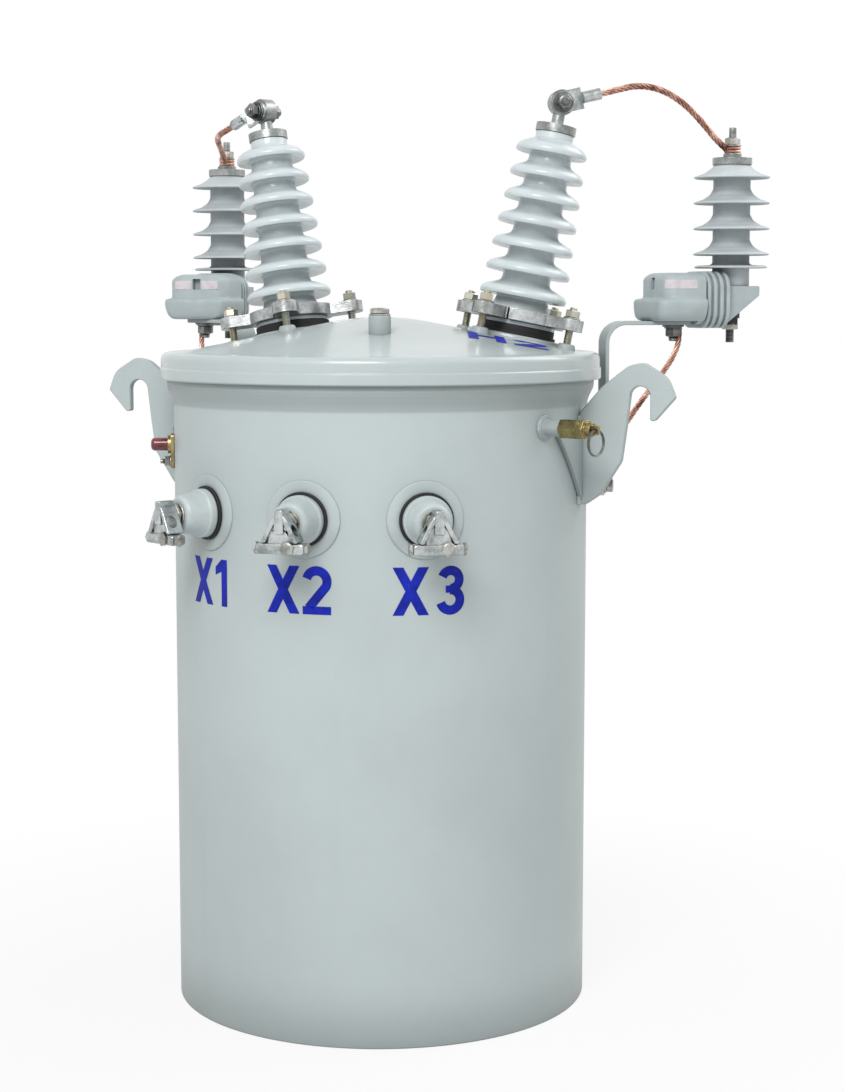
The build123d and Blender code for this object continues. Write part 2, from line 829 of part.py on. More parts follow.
# Low-voltage bushings and their clamp terminals
lv_gaskets = []
lv_seat_radius = tank_radius + lv_boss_rise
yoke_outline = (
    (-lv_yoke_top_width / 2, lv_yoke_rise),
    (lv_yoke_top_width / 2, lv_yoke_rise),
    (lv_yoke_top_width / 2, lv_yoke_shoulder_rise),
    (lv_yoke_foot_width / 2, -lv_yoke_drop),
    (-lv_yoke_foot_width / 2, -lv_yoke_drop),
    (-lv_yoke_top_width / 2, lv_yoke_shoulder_rise),
)
for number, azimuth in enumerate(lv_azimuths, start=1):
    seat = facing(azimuth, lv_seat_radius, lv_height)
    with BuildPart() as lv_gasket:
        with BuildSketch(seat):
            Circle(lv_gasket_radius)
        extrude(amount=lv_gasket_height)
    lv_gaskets.append(lv_gasket.part)
    body = seat.offset(lv_gasket_height)
    with BuildPart() as lv_bushing:
        with BuildSketch(profile_plane(body)):
            with BuildLine():
                Polyline(
                    (0, 0),
                    (lv_flange_radius, 0),
                    (lv_flange_radius, lv_flange_height),
                    (lv_nose_radius, lv_nose_height),
                    (0, lv_nose_height),
                    close=True,
                )
            make_face()
        revolve(axis=seat_axis(body))
        fillet(edges().filter_by(GeomType.CIRCLE).sort_by(seat_axis(body))[1:], radius=lv_edge_round)
    keep(lv_bushing.part, f"lv_bushing_x{number}")
    nose = body.offset(lv_nose_height)
    yoke = nose.offset(lv_stud_height)
    with BuildPart() as lv_terminal:
        with BuildSketch(nose):
            Circle(lv_stud_radius)
        extrude(amount=lv_stud_height)
        with BuildSketch(yoke):
            with BuildLine():
                Polyline(*yoke_outline, close=True)
            make_face()
            fillet(vertices(), radius=lv_yoke_round)
        extrude(amount=lv_yoke_depth)
        with BuildSketch(yoke.offset(lv_yoke_depth)):
            with BuildLine():
                Polyline(*yoke_outline, close=True)
            make_face()
            offset(amount=-lv_pocket_wall)
        extrude(amount=-lv_pocket_depth, mode=Mode.SUBTRACT)
        with BuildSketch(yoke.offset(lv_bar_setback)):
            with Locations((0, -lv_bar_drop)):
                SlotOverall(lv_bar_length, lv_bar_height)
        extrude(amount=lv_bar_width)
        bore_centre = yoke.origin + yoke.z_dir * (lv_yoke_depth / 2) - up * lv_bore_drop
        with BuildSketch(Plane(bore_centre, x_dir=seat.z_dir, z_dir=seat.x_dir)):
            Circle(lv_yoke_bore / 2)
        extrude(amount=lv_yoke_foot_width, both=True, mode=Mode.SUBTRACT)
    keep(lv_terminal.part, f"lv_terminal_x{number}")
keep(Compound(children=lv_gaskets), "lv_gaskets")

# Lifting lugs: a hooked plate, and a foot bent round on to the tank's wall
slot_half = hook_slot_width / 2
slot_low = hook_slot_top - slot_half
slot_left = hook_slot_centre_reach - slot_half
slot_right = hook_slot_centre_reach + slot_half
# Reach and height of the back's corners, from the tank's wall at the hook's upper root
back_shares = ((0, 0), (0.24, 0.53), (0.52, 0.94), (0.67, 1), (0.92, 0.71), (1, 0.33))
# Reach and height of the belly's corners, from the slot's inner edge down to the lower root
belly_shares = ((0.93, -0.14), (0.84, -0.52), (0.43, -0.89), (0.15, -1), (0, -1))
foot_width = tank_radius * sin(radians(90 - hook_foot_azimuth))
for side, hand in (("left", -1), ("right", 1)):
    with BuildPart() as hook_foot:
        with BuildSketch(Plane.XZ):
            with BuildLine():
                Polyline(
                    (tank_radius + fit_gap, hook_base_low),
                    (tank_radius + hook_foot_sheet, hook_base_low),
                    (tank_radius + hook_foot_sheet, hook_foot_top),
                    (tank_radius + fit_gap, hook_foot_top),
                    close=True,
                )
            make_face()
        revolve(axis=Axis.Z)
        with BuildSketch(Plane((0, 0, 0), x_dir=(0, hand, 0), z_dir=(hand, 0, 0))):
            with BuildLine():
                Polyline(
                    (0, hook_base_low),
                    (0, hook_foot_top),
                    (-foot_width * hand, hook_foot_top),
                    close=True,
                )
            make_face()
        extrude(amount=tank_radius + cut_overrun, mode=Mode.INTERSECT)
    plate = profile_plane(upright(hand * 90, tank_radius, 0))
    back = [(reach * hook_reach, hook_base_high + rise * hook_rise) for reach, rise in back_shares]
    belly = [(reach * slot_left, hook_base_high + fall * hook_base_height) for reach, fall in belly_shares]
    with BuildPart() as hook:
        with BuildSketch(plate):
            with BuildLine():
                FilletPolyline(
                    *back,
                    (slot_right + hook_tip_width, hook_tip),
                    (slot_right, hook_tip),
                    (slot_right, slot_low),
                    radius=[*hook_back_rounds, *hook_tip_rounds],
                )
                ThreePointArc(
                    (slot_right, slot_low), (hook_slot_centre_reach, hook_slot_top), (slot_left, slot_low)
                )
                FilletPolyline((slot_left, slot_low), *belly, radius=hook_belly_rounds)
                Line(belly[-1], back[0])
            make_face()
        extrude(amount=hook_sheet / 2, both=True)
        add(hook_foot.part)
    keep(hook.part, f"lifting_lug_{side}")

# Pressure relief valve: nipple with a weld flange, hexagon body, pull ring
relief_seat = facing(relief_azimuth, tank_radius, wall_height - relief_drop)
with BuildPart() as relief_nipple:
    with BuildSketch(relief_seat):
        Circle(relief_flange_radius)
    extrude(amount=relief_flange_height)
    with BuildSketch(relief_seat):
        Circle(relief_nipple_radius)
    extrude(amount=relief_nipple_height)
keep(relief_nipple.part, "relief_nipple")

relief_hex_low = relief_seat.offset(relief_nipple_height)
relief_nose_low = relief_hex_low.offset(relief_hex_height)
relief_tab_low = relief_nose_low.offset(relief_nose_height)
ring_reach = relief_nipple_height + relief_hex_height + relief_nose_height + relief_tab_length / 2
with BuildPart() as relief_body:
    with BuildSketch(relief_hex_low):
        RegularPolygon(relief_hex_width / 2, 6, major_radius=False)
    extrude(amount=relief_hex_height)
    with BuildSketch(relief_nose_low):
        Circle(relief_nose_radius)
    extrude(amount=relief_nose_height)
    with BuildSketch(relief_tab_low):
        Rectangle(relief_tab_sheet, relief_tab_width)
    extrude(amount=relief_tab_length)
    tab_middle = relief_seat.offset(ring_reach)
    with BuildSketch(Plane(tab_middle.origin, x_dir=relief_seat.z_dir, z_dir=relief_seat.x_dir)):
        Circle(relief_ring_hole / 2)
    extrude(amount=relief_tab_width, both=True, mode=Mode.SUBTRACT)
keep(relief_body.part, "relief_body")

ring_centre = relief_seat.offset(ring_reach).origin - up * relief_ring_radius
with BuildPart() as relief_ring:
    with Locations(Plane(ring_centre, x_dir=relief_seat.x_dir, z_dir=relief_seat.z_dir)):
        Torus(relief_ring_radius, relief_ring_wire)
keep(relief_ring.part, "relief_ring")

# Fault indicator: a plate on the wall, a collar and a lens
indicator_seat = facing(indicator_azimuth, tank_radius, wall_height - indicator_drop)
with BuildPart() as indicator_plate:
    with BuildSketch(indicator_seat):
        RectangleRounded(indicator_plate_width, indicator_plate_length, indicator_plate_sheet)
    extrude(amount=indicator_plate_sheet)
    with BuildSketch(indicator_seat.offset(indicator_plate_sheet)):
        with Locations((0, indicator_lens_offset)):
            Circle(indicator_collar_radius)
    extrude(amount=indicator_collar_height)
keep(indicator_plate.part, "indicator_plate")

lens_low = indicator_seat.offset(indicator_plate_sheet + indicator_collar_height)
with BuildPart() as indicator_lens:
    with BuildSketch(lens_low):
        with Locations((0, indicator_lens_offset)):
            Circle(indicator_lens_radius)
    extrude(amount=indicator_lens_height)
    fillet(edges().sort_by(seat_axis(lens_low))[-1], radius=indicator_lens_round)
keep(indicator_lens.part, "indicator_lens")

# Pole brackets: bent plates on the tank's back, with upright slots for the pole bolts
bracket_reach = tank_radius + bracket_standoff
bracket_half = (bracket_width - bracket_sheet) / 2
for name, height in (("lower", bracket_high - bracket_spacing), ("upper", bracket_high)):
    level = Plane.XY.offset(height - bracket_height / 2)
    with BuildPart() as bracket:
        with BuildSketch(level):
            with BuildLine():
                FilletPolyline(
                    (-bracket_half, tank_radius - cut_overrun),
                    (-bracket_half, bracket_reach - bracket_sheet / 2),
                    (bracket_half, bracket_reach - bracket_sheet / 2),
                    (bracket_half, tank_radius - cut_overrun),
                    radius=bracket_bend,
                )
            trace(line_width=bracket_sheet)
        extrude(amount=bracket_height)
        with BuildSketch(level):
            Circle(tank_radius)
        extrude(amount=bracket_height, mode=Mode.SUBTRACT)
        with BuildSketch(facing(180, bracket_reach - bracket_sheet, height)):
            SlotOverall(bracket_slot_length, bracket_slot_width, rotation=90)
        extrude(amount=bracket_sheet + cut_overrun, mode=Mode.SUBTRACT)
    keep(bracket.part, f"pole_bracket_{name}")

# Earth bosses that the arresters' ground leads end on
earth_bosses = []
for hand in (-1, 1):
    with BuildPart() as earth_boss:
        with BuildSketch(facing(hand * earth_azimuth, tank_radius, wall_height - earth_drop)):
            Circle(earth_boss_radius)
        extrude(amount=earth_boss_height)
    earth_bosses.append(earth_boss.part)
keep(Compound(children=earth_bosses), "earth_bosses")

# Copper jumpers and ground leads, as tubes of straight runs and tangent arcs
def make_conductor(route, radius):
    points = [Vector(*point) for point in route]
    bends = []
    for before, corner, after in zip(points, points[1:], points[2:]):
        arriving = corner - before
        leaving = after - corner
        half_turn = radians(arriving.get_angle(leaving) / 2)
        bends.append(arc_run_share * min(arriving.length, leaving.length) / tan(half_turn))
    print("bend radii", [round(bend) for bend in bends])
    with BuildPart() as conductor:
        with BuildLine() as path:
            FilletPolyline(*points, radius=bends)
        with BuildSketch(Plane(path.line @ 0, z_dir=path.line % 0)):
            Circle(radius)
        sweep(path=path.line)
    return conductor.part


for name, route, radius in (
    ("hv_jumper_left", jumper_left_route, jumper_radius),
    ("hv_jumper_right", jumper_right_route, jumper_radius),
    ("ground_lead_left", ground_lead_left_route, ground_lead_radius),
    ("ground_lead_right", ground_lead_right_route, ground_lead_radius),
):
    keep(make_conductor(route, radius), name)
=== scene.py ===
"""Finishes and small pieces of a pole mounted distribution transformer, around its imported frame.

Metres, +Z up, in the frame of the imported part. The tank stands on z = 0 about the z axis.
An azimuth is in degrees from the front, -Y, towards +X.
"""

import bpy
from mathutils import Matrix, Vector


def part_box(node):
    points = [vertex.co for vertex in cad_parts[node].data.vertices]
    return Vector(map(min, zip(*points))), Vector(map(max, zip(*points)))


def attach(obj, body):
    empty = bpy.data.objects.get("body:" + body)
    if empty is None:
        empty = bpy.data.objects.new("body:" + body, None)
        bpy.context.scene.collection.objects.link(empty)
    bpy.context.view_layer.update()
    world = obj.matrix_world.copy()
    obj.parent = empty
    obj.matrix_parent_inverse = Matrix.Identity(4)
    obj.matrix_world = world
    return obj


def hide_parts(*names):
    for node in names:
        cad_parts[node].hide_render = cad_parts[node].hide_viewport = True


bl_info = {
    "name": "Pole transformer dressing",
    "version": (1, 0, 0),
    "blender": (4, 5, 0),
    "location": "View3D > Sidebar > Transformer",
    "description": "Finishes, fasteners, conductors, marks and stage of a pole mounted transformer",
    "category": "Object",
}

from math import atan2, cos, degrees, pi, radians, sin, sqrt, tan

import bmesh
import bpy
from bpy.props import FloatProperty, FloatVectorProperty, IntProperty, PointerProperty
from mathutils import Matrix, Vector
from mathutils.bvhtree import BVHTree

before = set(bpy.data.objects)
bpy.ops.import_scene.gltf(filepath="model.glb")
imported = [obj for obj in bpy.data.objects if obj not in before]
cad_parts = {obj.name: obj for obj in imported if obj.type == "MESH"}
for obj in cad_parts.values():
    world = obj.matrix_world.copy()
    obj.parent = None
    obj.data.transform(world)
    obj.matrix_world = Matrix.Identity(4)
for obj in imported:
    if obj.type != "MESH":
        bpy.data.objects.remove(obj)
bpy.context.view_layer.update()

BODY = "root"
UP = Vector((0, 0, 1))
TINY = 1e-7
ORIGIN = Matrix.Identity(4)
SIDEWAYS = Matrix.Rotation(pi / 2, 4, "Y")
TUBE_SIDES = 8
SIDES = (("left", -1), ("right", 1))

# Tank and lid, as in the part
TANK_RADIUS = 0.250
TANK_SHEET = 0.004
TANK_BOTTOM_GAP = 0.0008
WALL_HEIGHT = 0.718
FLARE_HEIGHT = 0.028
FLARE_START = WALL_HEIGHT + 0.4 * FLARE_HEIGHT
FLARE_END = WALL_HEIGHT + FLARE_HEIGHT
LIP_RADIUS = 0.258
LIP_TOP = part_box("tank_wall")[1].z
LID_RADIUS = 0.265
LID_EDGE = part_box("lid")[0].z
LID_SHOULDER = LIP_TOP + 0.011
LID_SHEET = 0.004
BEAD_HEIGHT = 0.013
BEAD_STEP = 0.0015
CONE_RADIUS = 0.240
CONE_SLOPE = radians(11.2)
CROWN_RADIUS = 0.060
PLUG_BOSS_RADIUS = 0.013
PLUG_HEAD_HEIGHT = 0.009

# High-voltage bushings, along their leaning axes
HV_AZIMUTH = 118
HV_PLACE_RADIUS = 0.165
HV_PAD_RADIUS = 0.058
HV_PAD_RISE = 0.004
HV_GASKET_HEIGHT = 0.004
HV_BASE_RADIUS = 0.045
HV_BASE_TOP = 0.017
# Top of the black collar that stands for the gasket and for painted shade under the clamp
HV_GASKET_SHADE_COLLAR_TOP = 0.012
HV_SHOULDER_RADIUS = 0.0368
CLAMP_HEIGHT = 0.014
CLAMP_TOP = HV_BASE_TOP + CLAMP_HEIGHT
CLAMP_WASHER = 0.002
CLAMP_STUD_RADIUS = 0.076
HV_FIRST_SHED = 0.051
HV_SHED_COUNT = 7
HV_SHED_PITCH = 0.0293
HV_SHED_RADII = (0.054, 0.044)
HV_TRUNK_RADII = (0.030, 0.0255)
HV_SHED_RIM = 0.0055
HV_SHED_UNDER_DROP = 0.003
HV_SHED_OVER_RISE = 0.007
HV_NECK_RADIUS = 0.023
HV_NECK_HEIGHT = 0.009
HV_LAST_SHED = HV_FIRST_SHED + (HV_SHED_COUNT - 1) * HV_SHED_PITCH
HV_NECK_FOOT = HV_LAST_SHED + HV_SHED_RIM + HV_SHED_OVER_RISE
HV_TOP = HV_NECK_FOOT + HV_NECK_HEIGHT
TERMINAL_CAP_HEIGHT = 0.010
TERMINAL_NECK_HEIGHT = 0.012
TERMINAL_EYE_RADIUS = 0.0155
TERMINAL_EYE_WIDTH = 0.016
LUG_PALM_SHEET = 0.004

# Arresters, their straps and arms
STRAP_AZIMUTH = 120
STRAP_BOLT_RADIUS = 0.368
STRAP_TOP = 0.823
STRAP_SHEET = 0.005
STRAP_WIDTH = 0.034
STRAP_FOOT = (0.620, 0.676)
ARM_AZIMUTHS = {"left": -178.7, "right": 128}
ARM_LENGTH = 0.0778
ARM_UPPER_BACK = 0.0285
ARM_UPPER_HALF = 0.0412
ARM_UPPER_ROUND = 0.017
ARM_BLOCK_FRONT = 0.025
# Height, half width, back end and corner round of the moulded block, from the strap up
ARM_LEVELS = (
    (0.0000, 0.0340, 0.0325, 0.010),
    (0.0012, 0.0370, 0.0350, 0.010),
    (0.0050, 0.0410, 0.0370, 0.011),
    (0.0110, 0.0440, 0.0375, 0.012),
    (0.0180, 0.0458, 0.0375, 0.012),
    (0.0225, 0.0460, 0.0375, 0.012),
    (0.0250, 0.0454, 0.0368, 0.012),
    (0.0264, 0.0440, 0.0352, 0.012),
    (0.0270, 0.0430, 0.0330, 0.013),
    (0.0276, 0.0418, 0.0300, 0.016),
    (0.0290, 0.0413, 0.0286, ARM_UPPER_ROUND),
    (0.0320, ARM_UPPER_HALF, ARM_UPPER_BACK, ARM_UPPER_ROUND),
    (0.0500, ARM_UPPER_HALF, ARM_UPPER_BACK, ARM_UPPER_ROUND),
    (0.0528, 0.0396, 0.0277, ARM_UPPER_ROUND),
    (0.0554, 0.0366, 0.0257, 0.016),
    (0.0575, 0.0330, 0.0228, 0.015),
    (0.0587, 0.0292, 0.0192, 0.013),
    (0.0590, 0.0262, 0.0162, 0.012),
)
ARM_NOTCH = (0.0055, 0.039, 0.053, 0.009)
ARM_RIBS = (4, 0.0052, 0.0034)
ARM_RIB_SECTION = (0.039, -0.009, 0.061, 0.022)
ARM_RIB_DEPTH = 0.005
ARM_SHELF = (0.0594, 0.1048, 0.027, 0.031)
# Middle along the moulding, height, half width and half height of the bare patches
ARM_LABELS = {
    "left": ((-0.0190, 0.0450, 0.0115, 0.0056), (0.0190, 0.0450, 0.0115, 0.0056)),
    "right": ((-0.0085, 0.0450, 0.0215, 0.0054),),
}
LABEL_FILM = 0.0004
ARRESTER_BASE = 0.866
ARRESTER_CORE_RADIUS = 0.023
ARRESTER_SHED_RADIUS = 0.047
ARRESTER_FLAT_SHED = (0.022, 0.045)
# Reach past the core, height above the rim and corner round of a shed's upper face
ARRESTER_FLAT = ((0.004, 0.0039, 0.010), (0, 0.0054, 0.003))
ARRESTER_BELL = ((0.0125, 0.0058, 0.008), (0.0042, 0.0112, 0.012), (0, 0.0185, 0.006))
ARRESTER_FIRST_SHED = 0.038
ARRESTER_SHED_PITCH = 0.0315
ARRESTER_SHED_COUNT = 4
ARRESTER_HEIGHT = 0.149
ARRESTER_STUD_RADIUS = 0.0045
ARRESTER_STUD_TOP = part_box("arrester_caps")[1].z

# Low-voltage bushings, hooks, valve, indicator, brackets
LV_AZIMUTHS = (-32, 0, 32)
LV_HEIGHT = 0.606
MARK_AZIMUTHS = (-32, -1.4, 32.8)
MARK_GAPS = (0.10, 0.07, 0.16)
MARK_HEIGHT = 0.5265
MARK_FILM = 0.00025
LID_MARK_PLACE = Vector((0.166, -0.017, 0))
LID_MARK_AZIMUTH = 110.5
LID_MARK_SCALE = 1.2
LID_MARK_GAP = 0.14
LV_BOSS_RADIUS = 0.044
LV_BOSS_RISE = 0.0015
LV_BOSS_FLAT = 0.033
LV_GASKET_HEIGHT = 0.004
LV_GASKET_RADIUS = 0.0312
LV_FLANGE = (0.028, 0.008)
LV_NOSE = (0.021, 0.036)
LV_STUD_HEIGHT = 0.006
LV_YOKE_DEPTH = 0.024
LV_BAR = (0.0285, 0.006)
LV_BAR_DROP = 0.026
LV_BORE_RADIUS = 0.0065
LV_BORE_DROP = 0.006
LV_POST_RADIUS = 0.009
LV_DOME = (
    (-0.0165, -0.026, 0.006),
    (0.0165, -0.026, 0.006),
    (0.0150, -0.006, 0.012),
    (0.0050, 0.004, 0.006),
    (-0.0050, 0.004, 0.006),
    (-0.0150, -0.006, 0.012),
)
LV_POST = ((-0.0060, -0.010), (0.0060, -0.010), (0.0046, 0.017), (-0.0046, 0.017))
LV_LEG = (
    (0.001, 0.0125),
    (0.0055, 0.0105),
    (0.0105, 0.0035),
    (0.0155, -0.0065),
    (0.0225, -0.0195),
    (0.0165, -0.0195),
    (0.0105, -0.0075),
    (0.0060, 0.0005),
    (0.001, 0.0035),
)
HOOK_SHEET = 0.010
HOOK_HIGH = 0.716
HOOK_ROOT = (0.609, 0.714)
HOOK_BACK = (
    (0, 0),
    (0.0278, 0.0323, 0.060),
    (0.0603, 0.0573, 0.026),
    (0.0777, 0.0610, 0.015),
    (0.1067, 0.0433, 0.026),
    (0.1160, 0.0201, 0.004),
    (0.0920, -0.0070, 0.004),
    (0.0860, -0.0070, 0.003),
    (0.0860, 0.0210),
)
HOOK_SLOT = (0.074, 0.021, 0.012)
HOOK_BELLY = (
    (0.0620, 0.0210),
    (0.0577, -0.0150, 0.040),
    (0.0521, -0.0556, 0.014),
    (0.0267, -0.0952, 0.024),
    (0.0093, -0.1070, 0.008),
    (0, -0.1070),
)
HOOK_FOOT_SHEET = 0.006
HOOK_FOOT_TOP = 0.698
HOOK_FOOT_AZIMUTH = 73
RELIEF_AZIMUTH = 69
RELIEF_HEIGHT = 0.704
RELIEF_WELD_RADIUS = 0.0128
RELIEF_RING_RADIUS = 0.0145
INDICATOR_AZIMUTH = -65
INDICATOR_HEIGHT = 0.668
BRACKET_HEIGHTS = (0.330, 0.616)
BRACKET_HALF_WIDTH = 0.065
BRACKET_HALF_HEIGHT = 0.041
EARTH_AZIMUTH = 104
EARTH_HEIGHT = 0.627
EARTH_RISE = 0.022

# Radius and height of each washer, width and height of the hexagon, radius and length of the stud
FASTENERS = {
    "plug": (((PLUG_BOSS_RADIUS - 0.0006, 0.0018),), (0.0195, PLUG_HEAD_HEIGHT - 0.0028), None),
    "terminal_front": (((0.0125, 0.0022), (0.0105, 0.0020)), (0.0165, 0.008), (0.0055, 0.0165)),
    "terminal_back": (((0.0125, 0.0022),), (0.0165, 0.009), (0.0055, 0.016)),
    "arrester": (((0.0110, 0.0016),), (0.0165, 0.0085), None),
    "lock_nut": (((0.0145, 0.002),), (0.022, 0.0045), None),
    "indicator": (((0.0075, 0.0015),), (0.0115, 0.006), (0.0035, 0.013)),
    "earth": (((0.0105, 0.002),), (0.0155, 0.008), None),
}

# Other hardware: radius and height of washers, lugs and studs, width and height of hexagons
JUMPER_WASHER = (0.0115, 0.0016)
JUMPER_WASHER_DROP = 0.0060
JUMPER_NUT_RISE = 0.0046
JUMPER_EYE_RADIUS = 0.0082
JUMPER_EYE_STRAND = 0.0024
JUMPER_EYE_LAYER = 0.0022
STRAP_WASHER = (0.0135, 0.0025)
STRAP_HEAD = (0.0185, 0.0095)
STRAP_STUD = (0.006, 0.020)
LEAD_LUG = (0.011, 0.002)
TAIL_STUD = (0.0052, 0.022)
TAIL_NUT = (0.0175, 0.008)
TAIL_NUT_RISE = 0.016
LV_CROSS_RISE = 0.012
LV_CROSS_START = -0.0325
LV_CROSS_STUD = (0.004, 0.0645)
LV_CROSS_NUT = (0.0125, 0.0035)
LV_CROSS_SEATS = ((0.0285, 0.5), (-0.0320, 0.1))
LV_FRONT_PLACE = (0.010, 0.001, 0.0165)
LV_FRONT_HEAD = (0.0145, 0.0067)
CLAMP_STUD_SINK = 0.008
CLAMP_STUD_END = 0.0135
INDICATOR_BOLT_DROP = 0.0125
INDICATOR_SHEET = 0.004
RELIEF_WIRE = 0.0010
RELIEF_LAYER = 0.0008

# Angles at which an edge is sharp enough to be rounded, and at which the result is a fold
SHARP_ANGLE = radians(32)
FOLD_ANGLE = radians(165)

# Place, target, width and power of the lamps
LAMPS = {
    "key": ((0.3, -2.9, 2.95), (0, 0, 0.5), 1.8, 83),
    "top": ((1.6, 1.5, 2.7), (0.1, 0, 0.8), 1.8, 26),
}

# Routes of the copper conductors, as in the part
JUMPER_ROUTES = {
    "right": (
        (0.2424, 0.1119, 1.0964),
        (0.2575, 0.1199, 1.1003),
        (0.27844, 0.14056, 1.1075),
        (0.29875, 0.15941, 1.106),
        (0.31807, 0.17724, 1.0965),
        (0.33538, 0.19261, 1.081),
        (0.35067, 0.20552, 1.062),
        (0.36382, 0.21626, 1.044),
        (0.37455, 0.22567, 1.0335),
    ),
    "left": (
        (-0.2411, 0.1112, 1.0709),
        (-0.255, 0.1186, 1.0656),
        (-0.26997, 0.13286, 1.0625),
        (-0.28394, 0.15443, 1.0605),
        (-0.29591, 0.17892, 1.058),
        (-0.30587, 0.20534, 1.0535),
        (-0.31384, 0.23175, 1.0455),
        (-0.3196, 0.2543, 1.0335),
    ),
}
LEAD_ROUTE = (
    (0.3255, 0.188, 0.8177),
    (0.3265, 0.1875, 0.798),
    (0.320, 0.176, 0.776),
    (0.307, 0.157, 0.752),
    (0.293, 0.136, 0.728),
    (0.280, 0.115, 0.703),
    (0.269, 0.093, 0.679),
    (0.2605, 0.073, 0.659),
    (0.2581, 0.0654, 0.6412),
)


def srgb(red, green, blue):
    """Linear colour of an eight-bit screen colour."""

    def linear(level):
        share = level / 255
        return share / 12.92 if share <= 0.04045 else ((share + 0.055) / 1.055) ** 2.4

    return linear(red), linear(green), linear(blue)


def colour(label, description, screen):
    """A colour that a user may change, given as a screen colour."""
    return FloatVectorProperty(
        name=label, description=description, default=srgb(*screen),
        subtype="COLOR", size=3, min=0, max=1,
    )


def length(label, description, default):
    """A size that a user may change, in metres."""
    return FloatProperty(
        name=label, description=description, default=default, min=0, unit="LENGTH", precision=4
    )


def bearing(label, description, default):
    """An angle that a user may change, in radians."""
    return FloatProperty(name=label, description=description, default=default, subtype="ANGLE")


class TransformerColours(bpy.types.PropertyGroup):
    """Colours of the finishes."""

    enamel: colour("Enamel", "Tank, lid, hooks, straps and brackets", (190, 201, 201))
    glaze: colour("Glaze", "High-voltage bushings", (214, 224, 226))
    silicone: colour("Silicone", "Arrester housings", (208, 216, 219))
    moulding: colour("Moulding", "Insulating arms", (181, 192, 194))
    epoxy: colour("Epoxy", "Low-voltage bushings", (192, 202, 202))
    mark: colour("Marks", "Painted terminal marks", (16, 34, 160))
    lens: colour("Lens", "Fault indicator", (104, 24, 28))
    copper: colour("Copper", "Strands of the jumpers and leads", (210, 168, 148))
    brass: colour("Brass", "Relief valve", (180, 163, 114))
    chromate: colour("Chromate", "Studs and nuts of the clamps", (188, 186, 172))


class TransformerSizes(bpy.types.PropertyGroup):
    """Sizes of the small pieces."""

    edge_round: length("Edge round", "Rounding of plate edges", 0.0011)
    clamp_stud: length("Clamp stud", "Radius of the clamps' studs", 0.005)
    clamp_nut: length("Clamp nut", "Width across flats of the clamps' nuts", 0.0155)
    weld_bead: length("Weld bead", "Radius of the weld beads", 0.0032)
    jumper: length("Jumper", "Diameter of the jumpers", 0.008)
    lead: length("Ground lead", "Diameter of the ground leads", 0.007)
    strand_lay: length("Strand lay", "Length of one turn of the strands", 0.042)
    mark_height: length("Mark height", "Height of the terminal marks", 0.054)
    strands: IntProperty(
        name="Strands", description="Strands round each core", default=6, min=3, max=12
    )


class TransformerCamera(bpy.types.PropertyGroup):
    """Camera at the photograph's viewing angle."""

    azimuth: bearing("Azimuth", "Round from the front", radians(20.5))
    pitch: bearing("Pitch", "Down from level", 0.1133)
    yaw: bearing("Yaw", "Right of the axis", 0.0187)
    distance: length("Distance", "Level distance from the axis", 2.6776)
    height: length("Height", "Height above the base", 0.85407)
    lens: FloatProperty(
        name="Lens", description="Focal length in millimetres", default=72.54, min=1
    )


class Socket:
    """A shader value; sums, products and so on of these add Math nodes."""

    def __init__(self, graph, link):
        self.graph = graph
        self.link = link

    def math(self, operation, first, second):
        return self.graph.node("ShaderNodeMath", {"operation": operation}, {0: first, 1: second})[0]

    def __add__(self, other):
        return self.math("ADD", self, other)

    def __radd__(self, other):
        return self.math("ADD", other, self)

    def __rsub__(self, other):
        return self.math("SUBTRACT", other, self)

    def __mul__(self, other):
        return self.math("MULTIPLY", self, other)

    def __or__(self, other):
        return self.math("MAXIMUM", self, other)


def finish_name(name):
    """Name of a finish's material, unlike the names of the part's own slots."""
    return f"{name}_finish"


class Graph:
    """The shader nodes of a material or of the world."""

    def __init__(self, tree):
        self.tree = tree

    def node(self, kind, settings, inputs):
        """Adds a node; settings are set first, then the values or links of its sockets."""
        made = self.tree.nodes.new(kind)
        for name, value in settings.items():
            if name == "stops":
                ramp = made.color_ramp.elements
                while len(ramp) < len(value):
                    ramp.new(1)
                for stop, (position, shade) in zip(ramp, value):
                    stop.position = position
                    stop.color = (*shade, 1)
            else:
                setattr(made, name, value)
        for name, value in inputs.items():
            if isinstance(value, Socket):
                self.tree.links.new(value.link, made.inputs[name])
            else:
                made.inputs[name].default_value = value
        return [Socket(self, out) for out in made.outputs]

    def surface(self, output, shader):
        """Makes a shader the one that the named output shows."""
        self.tree.links.new(shader.link, self.tree.nodes[output].inputs["Surface"])

    def seen(self):
        """One for rays from the camera, from gloss and through glass, zero for light."""
        path = self.node("ShaderNodeLightPath", {}, {})
        return path[0] | path[3] | path[6]


